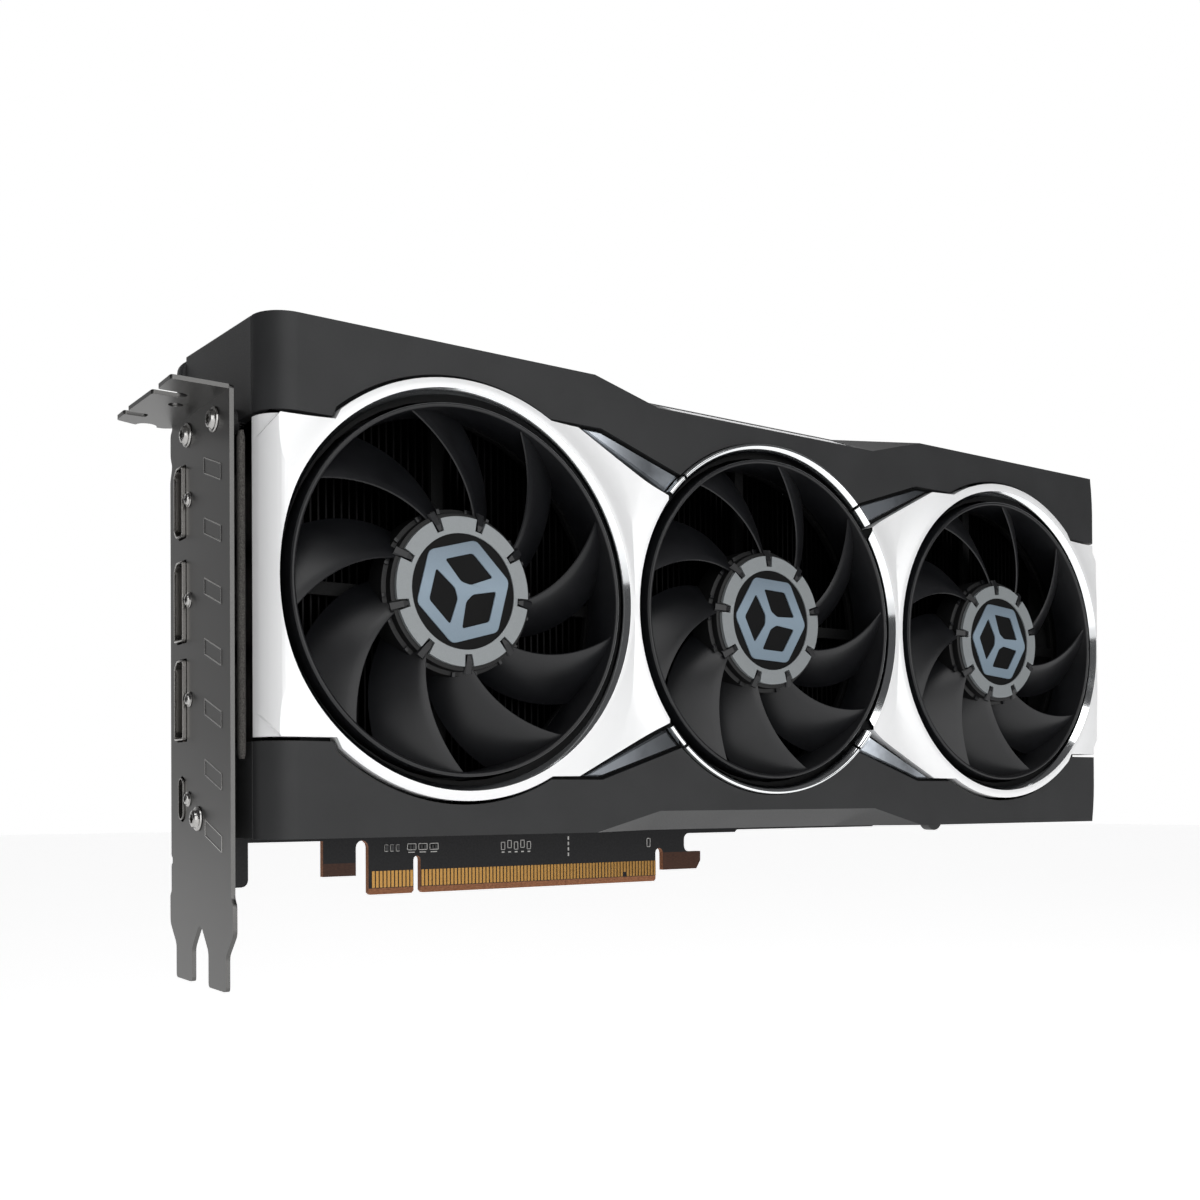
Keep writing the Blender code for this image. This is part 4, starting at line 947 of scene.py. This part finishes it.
def make_badge(number, center_x, phase, body):
    center = (center_x, CENTER_Z)
    half, narrow = 4.1, 3.6
    ring = []
    for k in range(BLADES):
        middle = 90.0 - (phase + k * 360.0 / BLADES)
        following = middle - 360.0 / BLADES
        ring += arc(center, NOTCH_R + 0.1, middle + narrow, middle - narrow, 3)
        ring += arc(center, BADGE_R, middle - half, following + half, 14)
    hole = circle(center, MARK_DISC_R - 0.25, 72)
    badge = plate(f"badge_ring_{number}", "XZ", [ring, hole], BADGE_Y, HUB_FRONT_Y + 0.2, "badge")
    soften(badge, 0.14, 2, 40)
    finish(badge, body, f"hub_badge_{number}", slot="steel_grey")
    front, back = BADGE_Y + 0.35, HUB_FRONT_Y + 0.2
    disc = lathe(f"badge_disc_{number}", [(0, front), (MARK_DISC_R, front), (MARK_DISC_R, back), (0, back)],
                 center, "badge_disc", 96)
    finish(disc, body, slot="black_plastic")
    mark = plate(f"hub_mark_{number}", "XZ", mark_loops(center, phase), BADGE_Y + 0.05, BADGE_Y + 0.4, "mark")
    soften(mark, 0.08, 1, 40)
    finish(mark, body, slot="steel_grey")


def mark_loops(center, phase):
    """Plain hexagon ring with three broad spokes, a generic fan sign."""
    hexagon = [polar(center, 11.6, phase + 60 * k) for k in range(6)]
    loops = [rounded_corners(hexagon, 1.2)]
    for k in range(3):
        middle = phase + 60 + 120 * k
        shape = []
        for radius, half in ((2.2, 32.0), (7.9, 49.0)):
            spots = [(radius, middle + half), (radius, middle - half)]
            shape += spots if radius < 5 else list(reversed(spots))
        shape.insert(3, (8.6, middle))
        outline = [polar(center, r, a) for r, a in shape]
        loops.append(rounded_corners(outline, 0.6))
    return loops


# Bracket, sockets and screws

BRACKET_T = 0.9
BRACKET_TOP_Z = 104.3
BRACKET_BOTTOM_Z = -15.7
PLATE_Y = (-32.6, 4.2)
FOOT_Y = (-33.7, 5.04)
PRONG_W = 10.19
SLOT_PITCH = 20.32
PRONG_CENTERS = [-4.17, -4.17 - SLOT_PITCH]
PINS = 10
EMBOSS_W = 0.42
EMBOSS_STEP = 3.2
EMBOSS_PITCH = 12.4
TAB_DEPTH = 11.43
PORT_Y = -3.3
HDMI_Z = 85.9
DP_Z = [64.7, 43.7]
USB_Z = 22.7
BRACKET_SCREWS = [(-7.6, 99.6), (-24.0, 99.2), (-13.4, 18.6)]
PORT_SCREWS = [(-8.3, HDMI_Z), (-8.3, DP_Z[0]), (-8.3, DP_Z[1]), (-7.4, USB_Z)]


def mouth(z, half_w, half_d, notch, both):
    """Outline of a video socket, with one or both corners cut on the side away from the fans."""
    y0, y1 = PORT_Y - half_d, PORT_Y + half_d
    low = [(y1 - notch, z - half_w), (y1, z - half_w + notch)] if both else [(y1, z - half_w)]
    return [(y0, z - half_w), *low, (y1, z + half_w - notch), (y1 - notch, z + half_w), (y0, z + half_w)]


def stadium(z, half_w, half_d, steps=10):
    reach = half_w - half_d
    return (arc((PORT_Y, z + reach), half_d, 0, 180, steps)
            + arc((PORT_Y, z - reach), half_d, 180, 360, steps))


# Name, place, half width, half depth, notch, both corners cut, length
SOCKETS = [("video_socket_upper", HDMI_Z, 7.5, 2.8, 1.6, True, 11.0),
           ("video_socket_middle", DP_Z[0], 8.5, 2.9, 1.6, False, 13.0),
           ("video_socket_lower", DP_Z[1], 8.5, 2.9, 1.6, False, 13.0)]


def bracket_outline():
    y0, y1 = PLATE_Y
    f0, f1 = FOOT_Y
    half = PRONG_W / 2
    taper_z, prong_z, low = -4.2, -8.5, BRACKET_BOTTOM_Z
    far, near = PRONG_CENTERS
    gap = (far + near) / 2
    return [(y0, BRACKET_TOP_Z), (y0, 3.0), (f0, 1.8), (f0, taper_z), (near - half, prong_z),
            (near - half, low), (near + half, low), (near + half, prong_z),
            (gap - 0.9, taper_z + 0.5), (gap + 0.9, taper_z + 0.5),
            (far - half, prong_z), (far - half, low), (far + half, low), (far + half, prong_z),
            (f1, taper_z), (f1, 1.8), (y1, 2.6), (y1, 8.4), (y1 - 0.8, 8.8), (y1 - 0.8, 10.0),
            (y1, 10.4), (y1, 92.0), (y1 - 1.4, 95.0), (y1 - 0.2, 97.0), (y1 - 0.2, 102.0),
            (y1 - 1.4, 103.0), (y1 - 1.4, BRACKET_TOP_Z)]


def tab_outline():
    y0, y1 = PLATE_Y[0] + 0.2, PLATE_Y[1] - 1.5
    edge = -TAB_DEPTH
    return [(0.5, y0), (edge, y0), (edge, y0 + 8.2), (edge + 4.6, y0 + 8.2),
            *arc((edge + 4.6, y0 + 10.0), 1.8, -90, 90, 14)[1:-1],
            (edge + 4.6, y0 + 11.8), (edge, y0 + 11.8), (edge - 0.4, y1 - 8.0), (edge + 4.0, y1 - 8.0),
            (edge + 4.0, y1 - 5.4), (edge - 0.4, y1 - 5.4), (edge - 0.4, y1), (edge + 3.6, y1 + 1.4),
            *arc((edge + 6.2, y1 + 1.4), 2.2, 180, 360, 14), (-1.6, y1 + 1.4), (0.5, y1)]


def make_bracket():
    outline = rounded_corners(bracket_outline(), 1.0)
    clear = 0.35
    loops = [outline]
    loops += [rounded_corners(mouth(z, w + clear, d + clear, notch, both), 0.5)
              for _, z, w, d, notch, both, _ in SOCKETS]
    loops.append(stadium(USB_Z, 4.9, 2.0))
    loops += [circle(spot, 1.5, 24) for spot in BRACKET_SCREWS]
    loops += [circle(spot, 1.1, 20) for spot in PORT_SCREWS]
    sheet = plate("bracket_sheet", "YZ", loops, 0.0, BRACKET_T, "bracket")
    hole = circle((-TAB_DEPTH + 6.4, -15.3), 1.5, 28)
    tab = plate("tab", "XY", [rounded_corners(tab_outline(), 0.7), hole], BRACKET_TOP_Z - BRACKET_T,
                BRACKET_TOP_Z, None, WORK)
    boolean(sheet, tab, "UNION")
    tidy_faces(sheet)
    soften(sheet, 0.16, 2, 30)
    finish(sheet, "card", "bracket", slot="bracket_steel")
    make_embossing()


def make_embossing():
    """A column of plain raised outlines, in place of any lettering."""
    bm = bmesh.new()

    def bar(y0, z0, y1, z1):
        across = Vector((0, y1 - y0, z1 - z0)).cross(Vector((1, 0, 0))).normalized() * EMBOSS_W / 2
        corners = []
        for y, z in ((y0, z0), (y1, z1)):
            for side in (-1, 1):
                corners.append(Vector((0.05, y, z)) + across * side)
                corners.append(Vector((-0.1, y, z)) + across * side * 0.5)
        bmesh.ops.convex_hull(bm, input=[bm.verts.new(corner * MM) for corner in corners])

    left, right = -27.6, -17.8
    for k in range(7):
        low = 12.0 + EMBOSS_PITCH * k
        middle, high = low + EMBOSS_STEP, low + 2 * EMBOSS_STEP
        bar(left, low, right, middle)
        bar(left, middle, right, high)
        bar(left, low, left, middle)
        bar(right, middle, right, high)
    lines = new_object("bracket_embossing", bm, "bright")
    finish(lines, "card", slot="bracket_steel")


def screw(name, head_r, head_t, shank_r, length, material="bright"):
    """Washer-head screw with a six-lobe recess, made along -Y at the origin."""
    dome = [(0, 1), (0.52, 1), (0.66, 0.86), (0.72, 0.5), (0.78, 0.32), (0.96, 0.26), (1, 0.12), (1, 0)]
    profile = [(head_r * out, -head_t * up) for out, up in dome]
    profile += [(shank_r, 0), (shank_r, length), (0, length)]
    item = lathe(name, profile, (0, 0), material, 48, False, 30)
    lobes = []
    for k in range(48):
        a = 2 * pi * k / 48
        r = head_r * 0.36 * (1 + 0.16 * cos(6 * a))
        lobes.append((r * cos(a), r * sin(a)))
    boolean(item, plate("lobes", "XZ", [lobes], -head_t - 1, -head_t * 0.35, None, WORK))
    return smooth(item, 30)


def make_bracket_screws():
    """Screws turned to point along X, a little proud of the bracket."""
    kinds = (("bracket", BRACKET_SCREWS, (2.6, 1.35, 1.2, 6.0)),
             ("port", PORT_SCREWS, (1.65, 0.75, 0.85, 3.0)))
    for kind, spots, sizes in kinds:
        for number, (y, z) in enumerate(spots, 1):
            item = screw(f"{kind}_screw_head_{number}", *sizes)
            item.data.transform(Matrix.Translation(at(0, -0.1, 0)))
            item.matrix_world = Matrix.Translation(at(0, y, z)) @ Matrix.Rotation(-pi / 2, 4, "Z")
            finish(item, "card", f"{kind}_screw_{number}", slot="nickel")


def make_sockets():
    wall = 0.38
    for name, z, half_w, half_d, notch, both, depth in SOCKETS:
        outer = rounded_corners(mouth(z, half_w, half_d, notch, both), 0.6)
        inner = rounded_corners(mouth(z, half_w - wall, half_d - wall, notch, both), 0.5)
        shell = plate(f"{name}_shell", "YZ", [outer, inner], -0.8, depth, "shell")
        soften(shell, 0.1, 2, 40)
        finish(shell, "card", name, slot="nickel")
        back = plate(f"{name}_floor", "YZ", [inner], depth - 5.0, depth - 0.2, "socket_black")
        finish(back, "card", slot="black_plastic")
        tongue = block(f"{name}_tongue", (0.4, PORT_Y - 0.35, z - half_w + 2.0),
                       (depth - 4.0, PORT_Y + 0.75, z + half_w - 2.0), "tongue")
        soften(tongue, 0.2, 2)
        finish(tongue, "card", slot="black_plastic")
        spans = []
        for k in range(PINS):
            spot = z - half_w + 3.0 + (2 * half_w - 6.0) * k / (PINS - 1)
            spans.append(((0.9, PORT_Y - 0.42, spot - 0.22), (depth - 5.0, PORT_Y - 0.3, spot + 0.22)))
        finish(boxes(f"{name}_pins", spans, "gold"), "card", slot="gold")
    inner = stadium(USB_Z, 4.2, 1.35)
    shell = plate("data_socket_shell", "YZ", [stadium(USB_Z, 4.5, 1.65), inner], -0.4, 8.0, "shell")
    finish(smooth(shell, 40), "card", "data_socket", slot="nickel")
    floor = plate("data_socket_floor", "YZ", [inner], 6.0, 7.8, "socket_black")
    finish(floor, "card", slot="black_plastic")
    tongue = block("data_socket_tongue", (0.9, PORT_Y - 0.35, USB_Z - 3.2),
                   (6.2, PORT_Y + 0.35, USB_Z + 3.2), "socket_black")
    finish(soften(tongue, 0.15, 2), "card", slot="black_plastic")


# Board details, cooler and back

INK_FRONT_Y = -0.02
FIN_PITCH = 1.75
FIN_T = 0.4
FIN_X = (9.2, 257.0)
FIN_Z = (19.2, 112.8)
FIN_STEP_X = 197.0
BACK_TOP_Z = 120.3
SPRING_SCREW_Y = 5.9


def make_fingers():
    """Contacts at 1 mm pitch on each side of the key notch, one of them shorter."""
    for name, first, count in (("short", KEY_X - 11.5, 11), ("long", KEY_X + 1.5, 71)):
        spans = []
        for k in range(count):
            low = 2.8 if (name, k) == ("long", 60) else 1.6
            spans.append(((first + k - 0.35, -0.1, low), (first + k + 0.35, -0.03, 5.5)))
        item = boxes(f"contacts_{name}", spans, "gold")
        finish(item, "card", f"contact_strip_{name}", slot="gold")


def make_board_ink():
    """Component outlines, pads and small parts along the lower edge of the board."""
    spans = []

    def bar(x0, z0, x1, z1):
        spans.append(((x0, -0.05, z0), (x1, INK_FRONT_Y, z1)))

    def outline(x, z, wide, tall, line=0.16):
        right, top = x + wide, z + tall
        bar(x, z, right, z + line)
        bar(x, top - line, right, top)
        bar(x, z, x + line, top)
        bar(right - line, z, right, top)

    for k in range(3):
        outline(49.0 + 1.5 * k, 10.0, 1.0, 1.7)
        outline(55.0 + 3.0 * k, 10.2, 2.4, 1.6)
        bar(55.3 + 3.0 * k, 9.6, 57.0 + 3.0 * k, 9.8)
    for k in range(5):
        outline(81.0 + 1.9 * k, 9.6 + 0.4 * (k % 2), 1.2, 2.0)
        bar(81.2 + 1.9 * k, 8.9, 82.0 + 1.9 * k, 9.2)
    for k in range(4):
        bar(101.0, 7.5 + 1.4 * k, 101.4, 8.4 + 1.4 * k)
    outline(126.5, 9.2, 1.2, 2.4)
    finish(boxes("board_ink_marks", spans, "ink"), "card", slot="board_black")
    parts = []
    for k in range(3):
        parts.append(((49.15 + 1.5 * k, -0.45, 10.2), (49.85 + 1.5 * k, INK_FRONT_Y, 11.5)))
        for x in (55.4 + 3.0 * k, 56.3 + 3.0 * k):
            parts.append(((x, -0.4, 10.5), (x + 0.6, INK_FRONT_Y, 11.4)))
    finish(boxes("board_small_parts", parts, "chip"), "card", slot="black_plastic")


def make_fins():
    """Dense fins on two base plates, shallower past the step near the far end."""
    low, high = FIN_Z
    spans = []
    for k in range(int((FIN_X[1] - FIN_X[0]) / FIN_PITCH)):
        x = FIN_X[0] + FIN_PITCH * k
        back = -7.0 if x < FIN_STEP_X else -17.4
        spans.append(((x, -25.5, low), (x + FIN_T, back, high)))
    spans += [((9.0, -7.6, low), (198.9, -6.5, high)), ((198.0, -17.7, low), (257.4, -16.6, high))]
    finish(boxes("cooler_fins", spans, "fin"), "card", "fin_stack", slot="aluminium")


def make_back():
    """Backplate skin with a rounded edge, a chip window, grooves and screw heads."""
    window = rounded_rect((79, 27), (145, 93), 5.0)
    outline = rounded_rect((LEFT_X - 1, BOTTOM_Z), (CARD_LENGTH - 4, BACK_TOP_Z), 3.0)
    skin = plate("backplate_skin", "XZ", [outline, window], 7.1, 8.7, "housing")
    grooves = [rounded_rect((x, 24), (x + 1.2, 111), 0.5) for x in (160, 176)]
    boolean(skin, plate("grooves", "XZ", grooves, 8.2, 10, None, WORK))
    bosses = [(x, z) for x in (14, 70, 152, 205, 252) for z in (24, 110)] + [(252, 66)]
    boolean(skin, plate("sinks", "XZ", [circle(spot, 3.2, 32) for spot in bosses], 7.9, 10, None, WORK))
    tidy_faces(skin)
    soften(skin, 0.5, 3, 50)
    finish(skin, "card", "backplate", slot="charcoal")
    outer = rounded_rect((LEFT_X - 0.6, BOTTOM_Z + 0.4), (CARD_LENGTH - 4.4, BACK_TOP_Z - 0.4), 2.6)
    inner = rounded_rect((LEFT_X + 1, BOTTOM_Z + 2), (CARD_LENGTH - 6, BACK_TOP_Z - 2), 2.0)
    wall = plate("backplate_wall", "XZ", [outer, inner], 5.75, 7.2, "housing")
    finish(smooth(wall), "card", slot="charcoal")
    half_turn = Matrix.Rotation(pi, 4, "Z")
    for number, (x, z) in enumerate(bosses, 1):
        item = screw(f"back_screw_{number}", 2.3, 0.7, 1.0, 0.6, "steel")
        item.matrix_world = Matrix.Translation(at(x, 8.0, z)) @ half_turn
        finish(item, "card", slot="nickel")
    for number in range(1, 5):
        node = f"retention_screw_{number}"
        low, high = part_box(node)
        item = screw(f"spring_screw_head_{number}", 2.5, 1.5, 1.1, 7.5, "steel")
        place = ((low.x + high.x) / 2, SPRING_SCREW_Y * MM, (low.z + high.z) / 2)
        item.matrix_world = Matrix.Translation(place) @ half_turn
        finish(item, "card", node, slot="nickel")


def make_power_pins():
    """Contact pins inside the power sockets, two rows of four in each."""
    pitch, half = 4.2, 0.6
    spans = []
    for node in ("power_socket_1", "power_socket_2"):
        low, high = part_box(node)
        middle = (low.x + high.x) / 2 / MM
        for column in range(4):
            for row in range(2):
                x = middle + (column - 1.5) * pitch
                y = -3.2 - row * pitch
                spans.append(((x - half, y - half, 105.4), (x + half, y + half, 111.0)))
    finish(boxes("power_pins", spans, "bright"), "card", slot="nickel")


def make_gasket():
    """Foam strip with a squarish round section that thins at its ends."""
    bm = bmesh.new()
    low, high = Vector((1.75, -33.4, 30.6)), Vector((3.08, -31.1, 95.4))
    center, half = (low + high) / 2, (high - low) / 2
    length_steps, sides, squareness = 60, 12, 0.7
    rows = []
    for i in range(length_steps + 1):
        z = low.z + (high.z - low.z) * i / length_steps
        near_end = min(z - low.z, high.z - z)
        shrink = 1.0 - 0.5 * max(0.0, 1.0 - near_end / 1.6) ** 2
        row = []
        for k in range(sides):
            u, v = cos(2 * pi * k / sides), sin(2 * pi * k / sides)
            grow = 1 - squareness + squareness / max(abs(u), abs(v))
            x, y = center.x + half.x * shrink * u * grow, center.y + half.y * v * grow
            row.append(bm.verts.new(at(x, y, z)))
        rows.append(row)
    skin_rows(bm, rows)
    item = new_object("gasket_strip", bm, "foam")
    finish(smooth(item, 60), "card", "foam_strip", slot="foam")


# CAD nodes that stay as they are, with their finishes

KEPT = {
    "shroud_frame": "duct", "upper_housing": "housing", "lower_housing": "housing",
    "vapour_chamber": "copper", "retention_frame": "steel", "circuit_board": "board",
    "gpu_package": "chip", "power_inductor_1": "chip", "power_inductor_2": "chip",
    "power_socket_1": "socket_black", "power_socket_2": "socket_black",
    "fan_motor_1": "copper", "fan_motor_2": "copper", "fan_motor_3": "copper",
}


def dress_cad():
    for name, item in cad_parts.items():
        kind = KEPT.get(name, "chip" if name.startswith("memory") else "housing")
        item.data.materials.clear()
        item.data.materials.append(MAT[kind])


# Studio


CAMERA_PLACE = (-0.0943, -0.2936, 0.0227)
CAMERA_TURNS = ((-35.0, "Z"), (90.31, "X"), (-0.277, "Z"))
CARD_CENTER = (0.13, -0.02, 0.06)
FLOOR_Z = -0.13


def area_light(name, place, target, size, power):
    data = bpy.data.lights.new(name, "AREA")
    data.shape = "RECTANGLE"
    data.size, data.size_y = size
    data.energy = power
    item = bpy.data.objects.new(name, data)
    item.location = place
    item.rotation_euler = (Vector(target) - Vector(place)).to_track_quat("-Z", "Y").to_euler()
    bpy.context.scene.collection.objects.link(item)


def make_world():
    """White backdrop beyond the card as the camera sees it, dark grey on the camera's side."""
    world = bpy.data.worlds.new("studio")
    world.use_nodes = True
    tree = world.node_tree
    coords = tree.nodes.new("ShaderNodeTexCoord")
    towards = tree.nodes.new("ShaderNodeVectorMath")
    towards.operation = "DOT_PRODUCT"
    towards.inputs[1].default_value = (0.57, 0.81, 0.1)
    ramp = tree.nodes.new("ShaderNodeValToRGB")
    stops = ((0.5, (0.08, 0.08, 0.082, 1.0)), (0.76, (1.0, 1.0, 1.0, 1.0)))
    for element, (place, color) in zip(ramp.color_ramp.elements, stops):
        element.position = place
        element.color = color
    tree.links.new(coords.outputs["Generated"], towards.inputs[0])
    tree.links.new(towards.outputs["Value"], ramp.inputs["Fac"])
    tree.links.new(ramp.outputs["Color"], tree.nodes["Background"].inputs["Color"])
    bpy.context.scene.world = world


def make_floor():
    """Pale floor with an even glow, which keeps it near white."""
    bm = bmesh.new()
    bmesh.ops.create_grid(bm, x_segments=1, y_segments=1, size=6.0,
                          matrix=Matrix.Translation((CARD_CENTER[0], 0.0, FLOOR_Z)))
    floor = new_object("floor", bm, None, bpy.context.scene.collection)
    n = Nodes("floor_white")
    n.tone(n.noise(400.0, 2.0), (0.86, 0.86, 0.86), (0.88, 0.88, 0.88))
    n.set(Roughness=0.9, Emission_Strength=0.72, Emission_Color=(1.0, 1.0, 1.0, 1.0))
    floor.data.materials.append(n.material)


def make_studio():
    scene = bpy.context.scene
    scene.view_settings.view_transform = "Standard"
    make_world()
    make_floor()
    area_light("panel_front", (0.05, -0.95, 0.3), (0.06, -0.04, 0.066), (1.4, 0.8), 7.2)
    area_light("key", (-0.15, -0.55, 0.95), CARD_CENTER, (0.5, 0.4), 2.0)
    camera = bpy.data.cameras.new("camera")
    camera.sensor_width = 36.0
    camera.lens = 40.97
    camera.shift_y = 0.158
    item = bpy.data.objects.new("camera", camera)
    matrix = Matrix.Translation(CAMERA_PLACE)
    for angle, axis in CAMERA_TURNS:
        matrix = matrix @ Matrix.Rotation(radians(angle), 4, axis)
    item.matrix_world = matrix
    scene.collection.objects.link(item)
    scene.camera = item


dress_cad()
make_covers()
make_wings()
make_panels()
make_rims()
for fan_number in (1, 2, 3):
    make_fan(fan_number)
make_bracket()
make_bracket_screws()
make_sockets()
make_fingers()
make_board_ink()
make_fins()
make_back()
make_power_pins()
make_gasket()
make_studio()
bpy.data.collections.remove(WORK)
